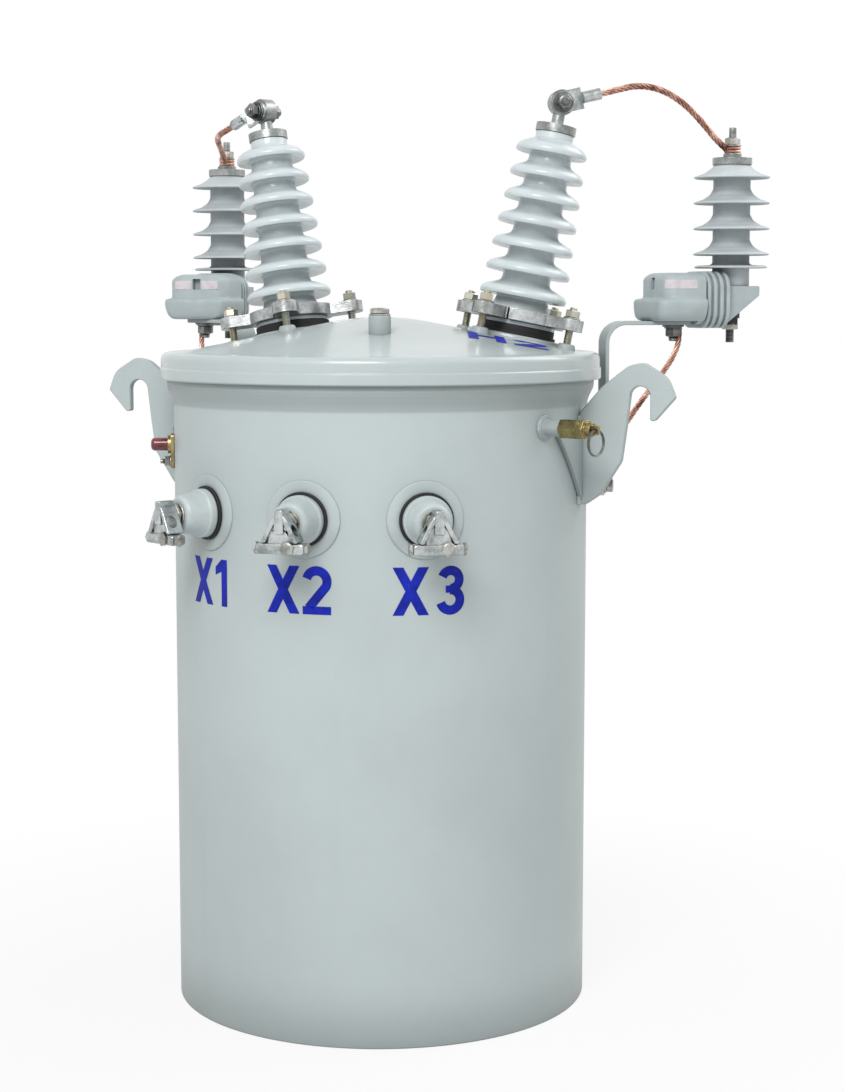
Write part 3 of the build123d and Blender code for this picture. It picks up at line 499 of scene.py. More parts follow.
class Finish(Graph):
    """A material under construction, with one Principled shader."""

    def __init__(self, name, **constants):
        self.material = bpy.data.materials.new(finish_name(name))
        self.material.use_nodes = True
        super().__init__(self.material.node_tree)
        self.shader = self.tree.nodes["Principled BSDF"]
        for socket, value in constants.items():
            self.shader.inputs[socket.replace("_", " ")].default_value = value
        self.place = self.node("ShaderNodeTexCoord", {}, {})[3]

    def noise(self, scale, detail=3, roughness=0.55, place=None):
        """Value noise about 0.5, with scale features to the metre."""
        inputs = {"Vector": place or self.place, "Scale": scale}
        inputs |= {"Detail": detail, "Roughness": roughness}
        return self.node("ShaderNodeTexNoise", {}, inputs)[0]

    def stretched(self, stretch):
        """Place on the object, scaled along its axes."""
        inputs = {0: self.place, 1: stretch}
        return self.node("ShaderNodeVectorMath", {"operation": "MULTIPLY"}, inputs)[0]

    def window(self, value, low, high):
        """Zero below low, one above high."""
        inputs = {"Value": value, "From Min": low, "From Max": high}
        return self.node("ShaderNodeMapRange", {"interpolation_type": "SMOOTHSTEP"}, inputs)[0]

    def mix(self, share, first, second):
        """Blend of two colours."""
        first = first if isinstance(first, Socket) else (*first, 1)
        second = second if isinstance(second, Socket) else (*second, 1)
        inputs = {0: share, 6: first, 7: second}
        return self.node("ShaderNodeMix", {"data_type": "RGBA"}, inputs)[2]

    def tones(self, value, low, high, base, dark, light):
        """From a dark to a light shade of a colour, as the value goes from low to high."""
        return self.mix(self.window(value, low, high), shade(base, dark), shade(base, light))

    def crevice(self, reach):
        """One in corners and folds, zero on open surfaces."""
        open_share = self.node("ShaderNodeAmbientOcclusion", {"samples": 6}, {"Distance": reach})[1]
        return 1 - open_share

    def underside(self):
        """How far the surface faces down, one on a ceiling and below zero on a floor."""
        normal = self.node("ShaderNodeNewGeometry", {}, {})[1]
        return 0 - self.node("ShaderNodeSeparateXYZ", {}, {0: normal})[2]

    def feed(self, socket, value):
        self.tree.links.new(value.link, self.shader.inputs[socket])

    def complete(self, body, roughness, grain, strength, distance):
        """Feeds colour, roughness and a bumped grain to the shader; returns the material."""
        self.feed("Base Color", body)
        self.feed("Roughness", roughness)
        inputs = {"Height": grain, "Strength": strength, "Distance": distance}
        self.feed("Normal", self.node("ShaderNodeBump", {}, inputs)[0])
        return self.material


def shade(base, share):
    """Colour made darker, or lighter where share is over one."""
    return tuple(min(level * share, 1) for level in base)


def satin_paint(name, base, coarse, corner_shade, gloss=0.0):
    """Sprayed enamel: faint clouding, runs, specks and orange peel; painted shade in corners, in
    hollows and on undersides, and corners rougher as with dirt.
    """
    finish = Finish(name, IOR=1.48, Coat_Weight=gloss, Coat_Roughness=0.16)
    cloud = finish.noise(5, 4, 0.6)
    run = finish.noise(16, 4, 0.6, finish.stretched((1, 1, 0.12)))
    speck = finish.noise(420, 2, 0.5)
    # Corners from ambient occlusion: painted shade in the colour, and dirt in the roughness.
    crevice_shade = finish.window(finish.crevice(0.03) * (0.7 + cloud * 0.6), 0.25, 0.95)
    body = finish.tones(cloud, 0.3, 0.7, base, 0.955, 1.03)
    layers = (
        (finish.window(run, 0.55, 0.75) * 0.35, 0.93),
        (finish.window(speck, 0.68, 0.76) * 0.25, 0.8),
        # Painted shade in hollows, such as the flare under the lid's rim.
        (finish.window(finish.crevice(0.08), 0.04, 0.45) * 0.6, 0.5),
        # Painted shade on faces that look down.
        (finish.window(finish.underside(), 0.03, 0.16) * 0.5, 0.52),
        # Painted shade in corners, at the given share.
        (crevice_shade * corner_shade, 0.34),
    )
    for share, depth in layers:
        body = finish.mix(share, body, shade(base, depth))
    peel = finish.noise(260, 2, 0.5) + finish.noise(70, 2, 0.5) * coarse
    return finish.complete(body, 0.36 + run * 0.16 + crevice_shade * 0.15, peel, 0.10, 0.0012)


def glazed_porcelain(name, base):
    """Pale glaze: pooled tone, fine specks, painted shade in crevices, soft waves under a clear
    coat.
    """
    finish = Finish(name, Coat_Weight=0.35, Coat_Roughness=0.08, IOR=1.52)
    cloud = finish.noise(26, 4, 0.6)
    speck = finish.window(finish.noise(900, 2, 0.5), 0.66, 0.74)
    # Painted shade in crevices, such as the trunk under each shed.
    crevice_shade = finish.window(finish.crevice(0.022), 0.2, 0.9)
    body = finish.tones(cloud, 0.3, 0.72, base, 0.93, 1.03)
    body = finish.mix(speck * 0.4, body, shade(base, 0.72))
    body = finish.mix(crevice_shade * 0.8, body, shade(base, 0.4))
    return finish.complete(body, 0.26 + cloud * 0.14, finish.noise(60, 2, 0.5), 0.12, 0.002)


def silicone_rubber(name, base):
    """Matt polymer: cloudy tone, painted shade in the crevices between the sheds, fine moulded
    grain.
    """
    finish = Finish(name, IOR=1.42)
    cloud = finish.noise(30, 4, 0.65)
    # Painted shade in crevices, such as the core between the sheds.
    crevice_shade = finish.window(finish.crevice(0.035), 0.15, 0.7)
    body = finish.tones(cloud, 0.32, 0.7, base, 0.92, 1.04)
    body = finish.mix(crevice_shade * 0.8, body, shade(base, 0.4))
    return finish.complete(body, 0.5 + cloud * 0.2, finish.noise(500, 2, 0.5), 0.12, 0.0006)


def grained_moulding(name, base, roughness, grain):
    """Moulded polymer: even body, fine grain, scuffs, painted shade in crevices."""
    finish = Finish(name, IOR=1.47)
    cloud = finish.noise(38, 4, 0.6)
    scuff = finish.window(finish.noise(240, 3, 0.6, finish.stretched((1, 1, 0.3))), 0.64, 0.74)
    # Painted shade in crevices.
    crevice_shade = finish.window(finish.crevice(0.012), 0.2, 0.9)
    body = finish.tones(cloud, 0.3, 0.7, base, 0.92, 1.05)
    body = finish.mix(scuff * 0.3, body, shade(base, 1.25))
    body = finish.mix(crevice_shade * 0.55, body, shade(base, 0.4))
    return finish.complete(body, roughness + cloud * 0.16, finish.noise(grain, 3, 0.6), 0.2, 0.0007)


def blank_label(name):
    """Bare printed-stock patch: off white with a warm blush."""
    finish = Finish(name, IOR=1.45)
    blush = finish.noise(55, 3, 0.6)
    paper = finish.mix(finish.window(blush, 0.4, 0.65), srgb(226, 221, 224), srgb(214, 204, 209))
    return finish.complete(paper, 0.36 + blush * 0.16, finish.noise(700, 2, 0.5), 0.05, 0.0004)


def bare_metal(name, bright, dull, roughness, grain, coarse):
    """Metal with two tones, an uneven polish, a cast or rolled skin, and painted shade in crevices.
    """
    finish = Finish(name, Metallic=1.0)
    patch = finish.noise(48, 4, 0.65)
    fine = finish.noise(420, 3, 0.6)
    # Painted shade in crevices, which are also rougher.
    crevice_shade = finish.window(finish.crevice(0.01), 0.25, 0.95)
    body = finish.mix(finish.window(patch + fine * 0.3, 0.45, 0.85), dull, bright)
    body = finish.mix(crevice_shade * 0.6, body, shade(dull, 0.3))
    polish = roughness + patch * 0.2 + crevice_shade * 0.1
    return finish.complete(body, polish, finish.noise(grain, 3, 0.6), coarse, 0.0008)


def yellow_chromate(name, gold):
    """Yellow passivated zinc with a faint play of colour."""
    finish = Finish(name, Metallic=1.0)
    bloom = finish.noise(130, 3, 0.6)
    stops = [(0.3, srgb(196, 197, 188)), (0.5, gold)]
    stops += [(0.66, srgb(196, 184, 156)), (0.8, srgb(186, 190, 180))]
    body = finish.node("ShaderNodeValToRGB", {"stops": stops}, {"Fac": bloom})[0]
    return finish.complete(body, 0.24 + bloom * 0.2, finish.noise(500, 2, 0.5), 0.1, 0.0005)


def copper_strand(name, bright):
    """Drawn copper strands, some bright and some tarnished along their length."""
    finish = Finish(name, Metallic=0.85)
    age = finish.noise(34, 5, 0.7)
    fine = finish.noise(700, 2, 0.5)
    stops = [(0.36, srgb(86, 58, 50)), (0.47, srgb(166, 116, 102))]
    stops += [(0.55, bright), (0.66, srgb(236, 212, 200))]
    tone = finish.node("ShaderNodeValToRGB", {"stops": stops}, {"Fac": age * 0.75 + fine * 0.25})[0]
    groove = finish.window(finish.crevice(0.003), 0.3, 0.95)
    body = finish.mix(groove * 0.75, tone, srgb(70, 34, 26))
    return finish.complete(body, 0.3 + age * 0.2, finish.noise(1600, 2, 0.5), 0.15, 0.0003)


def red_lens(name, base):
    """Clear red moulding with a darker heart."""
    finish = Finish(name, Coat_Weight=0.6, Coat_Roughness=0.05, IOR=1.49)
    depth = finish.noise(120, 3, 0.6)
    body = finish.tones(depth, 0.35, 0.65, base, 0.6, 1.5)
    return finish.complete(body, 0.14 + depth * 0.12, finish.noise(300, 2, 0.5), 0.05, 0.0004)


def mark_paint(name, base):
    """Stencilled blue paint, thin in places."""
    finish = Finish(name, IOR=1.46, Specular_IOR_Level=0.25)
    wear = finish.noise(70, 4, 0.65)
    thin = finish.window(finish.noise(300, 3, 0.6), 0.66, 0.76)
    body = finish.tones(wear, 0.35, 0.62, base, 0.78, 1.3)
    body = finish.mix(thin * 0.35, body, tuple(level * 0.5 + 0.2 for level in base))
    return finish.complete(body, 0.4 + wear * 0.2, finish.noise(420, 2, 0.5), 0.1, 0.0005)


def finishes(colours):
    """The maker of each finish, with what it is given after the name."""
    enamel = tuple(colours.enamel)
    brass = tuple(colours.brass)
    return {
        "pale_enamel": (satin_paint, enamel, 0.8, 0.55),
        # The lid's enamel: the tank's colour made darker as painted shade, with a gloss coat.
        "lid_enamel": (satin_paint, shade(enamel, 0.97), 0.6, 0.5, 0.7),
        "plate_enamel": (satin_paint, shade(enamel, 0.96), 1.6, 0.65),
        "glazed_porcelain": (glazed_porcelain, tuple(colours.glaze)),
        "silicone_rubber": (silicone_rubber, tuple(colours.silicone)),
        "arm_moulding": (grained_moulding, tuple(colours.moulding), 0.42, 620),
        "epoxy_moulding": (grained_moulding, tuple(colours.epoxy), 0.3, 900),
        "black_moulding": (grained_moulding, srgb(38, 38, 40), 0.45, 700),
        "black_rubber": (grained_moulding, srgb(26, 26, 27), 0.6, 500),
        "blank_label": (blank_label,),
        "cast_aluminium": (bare_metal, srgb(196, 199, 199), srgb(138, 141, 140), 0.24, 380, 0.3),
        "tinned_metal": (bare_metal, srgb(206, 210, 210), srgb(140, 146, 147), 0.2, 300, 0.14),
        "plated_steel": (bare_metal, srgb(196, 196, 190), srgb(136, 136, 130), 0.24, 500, 0.12),
        "dull_tin": (bare_metal, srgb(170, 174, 172), srgb(124, 128, 126), 0.26, 300, 0.2),
        "dark_steel": (bare_metal, srgb(140, 142, 140), srgb(86, 88, 86), 0.3, 500, 0.12),
        "machined_brass": (bare_metal, brass, shade(brass, 0.5), 0.18, 420, 0.1),
        "yellow_chromate": (yellow_chromate, tuple(colours.chromate)),
        "copper_strand": (copper_strand, tuple(colours.copper)),
        "red_lens": (red_lens, tuple(colours.lens)),
        "mark_paint": (mark_paint, tuple(colours.mark)),
    }


def material(name):
    """The named finish, made the first time that it is asked for."""
    made = bpy.data.materials.get(finish_name(name))
    if made:
        return made
    maker, *values = finishes(bpy.context.scene.transformer_colours)[name]
    return maker(name, *values)


def radial(azimuth):
    """Unit vector that points away from the tank's axis."""
    return Vector((sin(radians(azimuth)), -cos(radians(azimuth)), 0))


def axes(origin, x_axis, z_axis):
    """Placement with its x and z along two directions at right angles."""
    y_axis = z_axis.cross(x_axis)
    place = Matrix((x_axis, y_axis, z_axis)).transposed().to_4x4()
    place.translation = origin
    return place


def facing(azimuth, radius, height):
    """Placement on the tank's side, its z outward and its y up."""
    out = radial(azimuth)
    return axes(out * radius + UP * height, UP.cross(out), out)


def upright(azimuth, radius, height):
    """Placement at a place round the tank, its x outward and its z up."""
    return axes(radial(azimuth) * radius + UP * height, radial(azimuth), UP)


def raised(place, height):
    """The placement moved along its own z."""
    return moved(place, z=height)


def moved(place, x=0.0, y=0.0, z=0.0):
    """The placement moved along its own axes."""
    return place @ Matrix.Translation((x, y, z))


def lid_surface(radius):
    """Height of the lid's cone at a distance from the axis."""
    return LID_SHOULDER + (CONE_RADIUS - radius) * tan(CONE_SLOPE)


def bushing_seat(hand):
    """Placement on a bushing pad, its z along the leaning bushing and its x outward."""
    out = radial(hand * HV_AZIMUTH)
    axis = out * sin(CONE_SLOPE) + UP * cos(CONE_SLOPE)
    foot = out * HV_PLACE_RADIUS + UP * lid_surface(HV_PLACE_RADIUS)
    return axes(foot + axis * HV_PAD_RISE, out * cos(CONE_SLOPE) - UP * sin(CONE_SLOPE), axis)


def arm_place(side, hand):
    """Placement on a strap at its bolt, its x along the insulating arm."""
    bolt = radial(hand * STRAP_AZIMUTH) * STRAP_BOLT_RADIUS + UP * STRAP_TOP
    return axes(bolt, radial(ARM_AZIMUTHS[side]), UP)


def arc(before, corner, after, radius, steps):
    """Points of the arc that rounds a corner of an outline."""
    to_before = Vector(before) - Vector(corner)
    to_after = Vector(after) - Vector(corner)
    room = 0.49 * min(to_before.length, to_after.length)
    to_before.normalize()
    to_after.normalize()
    half = to_before.angle(to_after) / 2
    if radius < TINY or half > pi / 2 - 0.02:
        return [tuple(corner)]
    setback = min(radius / tan(half), room)
    size = setback * tan(half)
    centre = Vector(corner) + (to_before + to_after).normalized() * (size / sin(half))
    start = Vector(corner) + to_before * setback - centre
    end = Vector(corner) + to_after * setback - centre
    first = atan2(start.y, start.x)
    turn = (atan2(end.y, end.x) - first + pi) % (2 * pi) - pi
    angles = [first + turn * step / steps for step in range(steps + 1)]
    return [(centre.x + size * cos(angle), centre.y + size * sin(angle)) for angle in angles]


def rounded(points, radius, steps=5, closed=False):
    """Outline with its corners rounded; a point may carry its own radius as a third number."""
    count = len(points)
    outline = []
    for index, point in enumerate(points):
        if not closed and index in (0, count - 1):
            outline.append(tuple(point[:2]))
            continue
        own = point[2] if len(point) > 2 else radius
        before = points[index - 1][:2]
        after = points[(index + 1) % count][:2]
        outline += arc(before, point[:2], after, own, steps)
    return outline


def circle(place, radius, height, steps):
    """Points of a circle about the placement's z."""
    turns = [2 * pi * step / steps for step in range(steps)]
    return [place @ Vector((radius * cos(turn), radius * sin(turn), height)) for turn in turns]


def rectangle(left, low, right, high):
    """Corners of a rectangle, from its low left one on."""
    return [(left, low), (right, low), (right, high), (left, high)]


def skin(mesh, rings, closed=False, capped=True):
    """Joins rings of points in turn, the last to the first if closed; a ring may be one point."""
    rings = [[mesh.verts.new(point) for point in ring] for ring in rings]
    steps = max(len(ring) for ring in rings)
    ahead = rings[1:] + rings[:1] if closed else rings[1:]
    for low, high in zip(rings, ahead):
        for step in range(steps):
            after = (step + 1) % steps
            corners = [low[step % len(low)], low[after % len(low)]]
            corners += [high[after % len(high)], high[step % len(high)]]
            mesh.faces.new(dict.fromkeys(corners))
    if capped:
        mesh.faces.new(rings[0][::-1])
        mesh.faces.new(rings[-1])


def lathe(mesh, place, profile, steps=64, closed=False):
    """Turns a profile of radius and height about the placement's z."""
    rings = [circle(place, *corner, steps if corner[0] > TINY else 1) for corner in profile]
    skin(mesh, rings, closed, capped=False)


def inset(outline, amount):
    """The outline moved inward, square to its edges."""
    following = outline[1:] + outline[:1]
    turn = sum(x * after[1] - after[0] * y for (x, y), after in zip(outline, following))
    moved_in = []
    for index, point in enumerate(outline):
        before = (Vector(point) - Vector(outline[index - 1])).normalized()
        after = (Vector(following[index]) - Vector(point)).normalized()
        way = (before + after).normalized()
        inward = Vector((-way.y, way.x)) * (1 if turn > 0 else -1)
        moved_in.append(tuple(Vector(point) + inward * (amount / max(way.dot(after), 0.4))))
    return moved_in


def loft(mesh, place, levels):
    """Joins outlines of equal counts, at heights along the placement's z, and closes the ends."""
    rings = [[place @ Vector((*point, height)) for point in outline] for height, outline in levels]
    skin(mesh, rings)


def prism(mesh, place, outline, low, high, edge=0.0, steps=1):
    """Extrudes an outline along the placement's z, its rims chamfered, or round in more steps."""
    if not edge:
        loft(mesh, place, [(low, outline), (high, outline)])
        return
    turns = [pi / 2 * step / steps for step in range(steps + 1)]
    rim = [(edge * (1 - cos(turn)), inset(outline, edge * (1 - sin(turn)))) for turn in turns]
    levels = [(low + rise, ring) for rise, ring in rim]
    levels += [(high - rise, ring) for rise, ring in reversed(rim)]
    loft(mesh, place, levels)


def strips(mesh, axis, spacing):
    """Cuts a mesh across an axis into narrow strips, so that it can be bent."""
    reaches = [vertex.co.dot(axis) for vertex in mesh.verts]
    count = int((max(reaches) - min(reaches)) / spacing)
    for step in range(1, count):
        cut = axis * (min(reaches) + (max(reaches) - min(reaches)) * step / count)
        everything = mesh.verts[:] + mesh.edges[:] + mesh.faces[:]
        bmesh.ops.bisect_plane(mesh, geom=everything, plane_co=cut, plane_no=axis)


def cut_away(mesh, cutter):
    """The mesh less the cutter, both closed."""
    holders = []
    for part in (mesh, cutter):
        bmesh.ops.recalc_face_normals(part, faces=part.faces)
        data = bpy.data.meshes.new("cut")
        part.to_mesh(data)
        part.free()
        holders.append(bpy.data.objects.new("cut", data))
        bpy.context.scene.collection.objects.link(holders[-1])
    difference = holders[0].modifiers.new("cut", "BOOLEAN")
    difference.operation = "DIFFERENCE"
    difference.object = holders[1]
    difference.use_self = True
    result = bmesh.new()
    result.from_object(holders[0], bpy.context.evaluated_depsgraph_get())
    for holder in holders:
        data = holder.data
        bpy.data.objects.remove(holder)
        bpy.data.meshes.remove(data)
    return result


def regular(count, inner_radius, start=0.0):
    """Corners of a regular polygon of a given radius to its flats."""
    radius = inner_radius / cos(pi / count)
    angles = [start + 2 * pi * index / count for index in range(count)]
    return [(radius * cos(angle), radius * sin(angle)) for angle in angles]


def hex_head(mesh, place, width, height, start=0.0):
    """Bolt head or nut: six flats with a chamfered crown."""
    prism(mesh, place, regular(6, width / 2, start), 0, height, width * 0.05)
    crown = [(width * 0.44, -TINY), (width * 0.36, width * 0.04), (0, width * 0.04)]
    lathe(mesh, raised(place, height), crown, 24)


def washer(mesh, place, radius, height):
    """Round washer with eased rims."""
    ease = height * 0.25
    profile = [(0, 0), (radius - ease, 0), (radius, ease)]
    profile += [(radius, height - ease), (radius - ease, height), (0, height)]
    lathe(mesh, place, profile, 32)


def threaded_stud(mesh, place, radius, height, pitch=0.00175):
    """Stud with ring threads and a chamfered tip."""
    turns = max(int(height / pitch) - 1, 1)
    profile = [(0, 0), (radius, 0)]
    for turn in range(turns):
        base = turn * pitch
        profile += [(radius, base + pitch * 0.35), (radius - pitch * 0.45, base + pitch * 0.75)]
    profile += [(radius - pitch * 0.3, height - pitch * 0.6), (radius * 0.72, height), (0, height)]
    lathe(mesh, place, profile, 20)


def fastener(mesh, place, name, turn):
    """Washers on a seat, a hexagon on them, and a stud through them where there is one."""
    washers, hexagon, stud = FASTENERS[name]
    level = 0
    for radius, height in washers:
        washer(mesh, raised(place, level), radius, height)
        level += height
    hex_head(mesh, raised(place, level), *hexagon, turn)
    if stud:
        threaded_stud(mesh, place, *stud)


def frames_along(points):
    """Two cross axes at each point of a line, turned as little as possible."""
    line = [Vector(point) for point in points]
    ways = []
    for index in range(len(line)):
        ahead = line[min(index + 1, len(line) - 1)]
        behind = line[max(index - 1, 0)]
        ways.append((ahead - behind).normalized())
    normal = ways[0].orthogonal().normalized()
    frames = []
    for way in ways:
        normal = (normal - way * normal.dot(way)).normalized()
        frames.append((normal, way.cross(normal)))
    return frames


def tube(mesh, points, radius, swell=None, closed=False):
    """Tube along a line; swell gives a factor on its radius at each point."""
    turns = [2 * pi * side / TUBE_SIDES for side in range(TUBE_SIDES)]
    rings = []
    for index, (point, (normal, across)) in enumerate(zip(points, frames_along(points))):
        size = radius * (swell(index) if swell else 1)
        spokes = [(normal * cos(turn) + across * sin(turn)) * size for turn in turns]
        rings.append([Vector(point) + spoke for spoke in spokes])
    skin(mesh, rings, closed, capped=not closed)


def weld_line(mesh, points, radius):
    """Weld bead: a tube half sunk in the joint, rippled along its length."""
    spacing = radius * 0.5
    line = [Vector(points[0])]
    for start, end in zip(points, points[1:]):
        run = Vector(end) - Vector(start)
        steps = max(int(run.length / spacing), 1)
        line += [Vector(start) + run * (step / steps) for step in range(1, steps + 1)]

    def ripple(index):
        return 1 + 0.10 * sin(index * 1.7) + 0.08 * sin(index * 0.43 + 1.1)

    tube(mesh, line, radius, ripple)


def piece(name, mesh, finish, slot, *nodes, crease=38):
    """Turns a mesh into a smooth piece, creased past an angle, that stands for the named nodes."""
    bmesh.ops.recalc_face_normals(mesh, faces=mesh.faces)
    data = bpy.data.meshes.new(name)
    mesh.to_mesh(data)
    mesh.free()
    data.polygons.foreach_set("use_smooth", [True] * len(data.polygons))
    data.set_sharp_from_angle(angle=radians(crease))
    data.materials.append(material(finish))
    made = bpy.data.objects.new(name, data)
    bpy.context.scene.collection.objects.link(made)
    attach(made, BODY)
    if nodes:
        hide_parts(*nodes)
    return made


def welds(name, lines, radius):
    """A piece of painted weld beads along some lines."""
    mesh = bmesh.new()
    for line in lines:
        weld_line(mesh, line, radius)
    piece(name, mesh, "plate_enamel", "tank_paint")


def turned(name, place, profile, steps, finish, slot, *nodes, closed=False):
    """A piece that is one profile turned about the placement's z."""
    mesh = bmesh.new()
    lathe(mesh, place, profile, steps, closed)
    piece(name, mesh, finish, slot, *nodes)


def eased(node, finish, slot, ease):
    """A CAD piece with its sharp edges rounded, standing for that piece."""
    whole = bmesh.new()
    whole.from_mesh(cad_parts[node].data)
    bmesh.ops.remove_doubles(whole, verts=whole.verts, dist=1e-6)
    surface = BVHTree.FromBMesh(whole)
    bmesh.ops.dissolve_limit(whole, angle_limit=radians(1), verts=whole.verts, edges=whole.edges)
    for share in (1, 0.6, 0.35, 0.2):
        mesh = whole.copy()
        whole_edges = [edge for edge in mesh.edges if edge.is_manifold]
        sharp = [edge for edge in whole_edges if edge.calc_face_angle() > SHARP_ANGLE]
        bmesh.ops.bevel(
            mesh,
            geom=sharp,
            offset=ease * share,
            offset_type="OFFSET",
            segments=2,
            profile=0.6,
            affect="EDGES",
            clamp_overlap=False,
            face_strength_mode="ALL",
        )
        bmesh.ops.triangulate(mesh, faces=[face for face in mesh.faces if len(face.verts) > 4])
        strays = [surface.find_nearest(vertex.co)[3] for vertex in mesh.verts]
        joined = [edge for edge in mesh.edges if len(edge.link_faces) == 2]
        folds = [edge for edge in joined if edge.calc_face_angle() > FOLD_ANGLE]
        if max(strays) < ease * share and not folds:
            break
        mesh.free()
    else:
        mesh = whole.copy()
    whole.free()
    made = piece(f"{node}_eased", mesh, finish, slot, node, crease=50)
    flat = made.modifiers.new("flat faces", "WEIGHTED_NORMAL")
    flat.keep_sharp = True
    flat.use_face_influence = True


class TRANSFORMER_OT_conductors(bpy.types.Operator):
    """Twist the copper jumpers and ground leads along their routes."""

    bl_idname = "transformer.conductors"
    bl_label = "Conductors"

    def smooth_line(self, name, route):
        """Points of the smooth curve that has the route's points as its control points."""
        curve = bpy.data.curves.new(name, "CURVE")
        curve.dimensions = "3D"
        curve.resolution_u = 16
        spline = curve.splines.new("NURBS")
        spline.points.add(len(route) - 1)
        for control, place in zip(spline.points, route):
            control.co = (*place, 1)
        spline.order_u = 3
        spline.use_endpoint_u = True
        holder = bpy.data.objects.new(name, curve)
        data = bpy.data.meshes.new_from_object(holder)
        points = [vertex.co.copy() for vertex in data.vertices]
        bpy.data.objects.remove(holder)
        bpy.data.curves.remove(curve)
        bpy.data.meshes.remove(data)
        return points

    def twisted(self, mesh, points, diameter, sizes):
        """A core with strands laid round it."""
        strand = diameter / 6
        ring = diameter / 2 - strand
        travelled = [0.0]
        for start, end in zip(points, points[1:]):
            travelled.append(travelled[-1] + (end - start).length)
        tube(mesh, points, strand * 1.02)
        frames = frames_along(points)
        for number in range(sizes.strands):
            begin = 2 * pi * number / sizes.strands
            line = []
            for point, (normal, across), run in zip(points, frames, travelled):
                turn = begin + 2 * pi * run / sizes.strand_lay
                line.append(point + (normal * cos(turn) + across * sin(turn)) * ring)
            tube(mesh, line, strand)
        return travelled[-1]

    def cord(self, node, route, diameter, sizes):
        mesh = bmesh.new()
        points = self.smooth_line(node, route)
        reach = self.twisted(mesh, points, diameter, sizes)
        made = piece(f"{node}_strands", mesh, "copper_strand", "copper_strand", node)

    def execute(self, context):
        sizes = context.scene.transformer_sizes
        for side, hand in SIDES:
            self.cord(f"hv_jumper_{side}", JUMPER_ROUTES[side], sizes.jumper, sizes)
            lead = [(hand * x, y, z) for x, y, z in LEAD_ROUTE]
            self.cord(f"ground_lead_{side}", lead, sizes.lead, sizes)
        return {"FINISHED"}


class TRANSFORMER_OT_tank(bpy.types.Operator):
    """Spin the tank wall with its flare, and the raised bosses of the low-voltage bushings."""

    bl_idname = "transformer.tank"
    bl_label = "Tank"

    def boss(self, mesh, azimuth):
        """Pressed boss, flat under the gasket and bent on to the round wall beyond it."""
        slope = LV_BOSS_RADIUS - LV_BOSS_FLAT
        rings = [LV_BOSS_FLAT + slope * step / 6 for step in range(6)]
        profile = [(0, LV_BOSS_RISE), *((radius, LV_BOSS_RISE) for radius in rings)]
        profile += [(LV_BOSS_RADIUS, LV_BOSS_RISE, 0.0014)]
        profile += [(LV_BOSS_RADIUS, -TANK_SHEET), (0, -TANK_SHEET)]
        known = set(mesh.verts)
        lathe(mesh, facing(azimuth, TANK_RADIUS, LV_HEIGHT), rounded(profile, 0.0005), 72)
        out = radial(azimuth)
        for vertex in set(mesh.verts) - known:
            across = vertex.co.dot(UP.cross(out))
            reach = sqrt(across**2 + (vertex.co.z - LV_HEIGHT) ** 2)
            share = min(max((reach - LV_BOSS_FLAT) / slope, 0), 1)
            vertex.co -= out * (across**2 / (2 * TANK_RADIUS) * share)

    def execute(self, context):
        inner = TANK_RADIUS - TANK_SHEET
        lip_inner = LIP_RADIUS - TANK_SHEET
        profile = [
            (inner, 0, 0.001),
            (TANK_RADIUS, 0, 0.002),
            (TANK_RADIUS, FLARE_START, 0.030),
            (LIP_RADIUS, FLARE_END, 0.014),
            (LIP_RADIUS, LIP_TOP, 0.001),
            (lip_inner, LIP_TOP, 0.001),
            (lip_inner, FLARE_END, 0.010),
            (inner, FLARE_START, 0.026),
        ]
        mesh = bmesh.new()
        lathe(mesh, ORIGIN, rounded(profile, 0.001, 6, closed=True), 240, closed=True)
        for azimuth in LV_AZIMUTHS:
            self.boss(mesh, azimuth)
        piece("tank_wall_spun", mesh, "pale_enamel", "tank_paint", "tank_wall")
        low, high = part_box("tank_bottom")
        base = bmesh.new()
        disc = rectangle(0, low.z, inner - TANK_BOTTOM_GAP, high.z)
        lathe(base, ORIGIN, rounded(disc, 0.0012), 180)
        ring = circle(ORIGIN, inner, low.z, 96)
        weld_line(base, ring + ring[:1], context.scene.transformer_sizes.weld_bead)
        piece("tank_bottom_welded", base, "plate_enamel", "tank_paint", "tank_bottom")
        return {"FINISHED"}


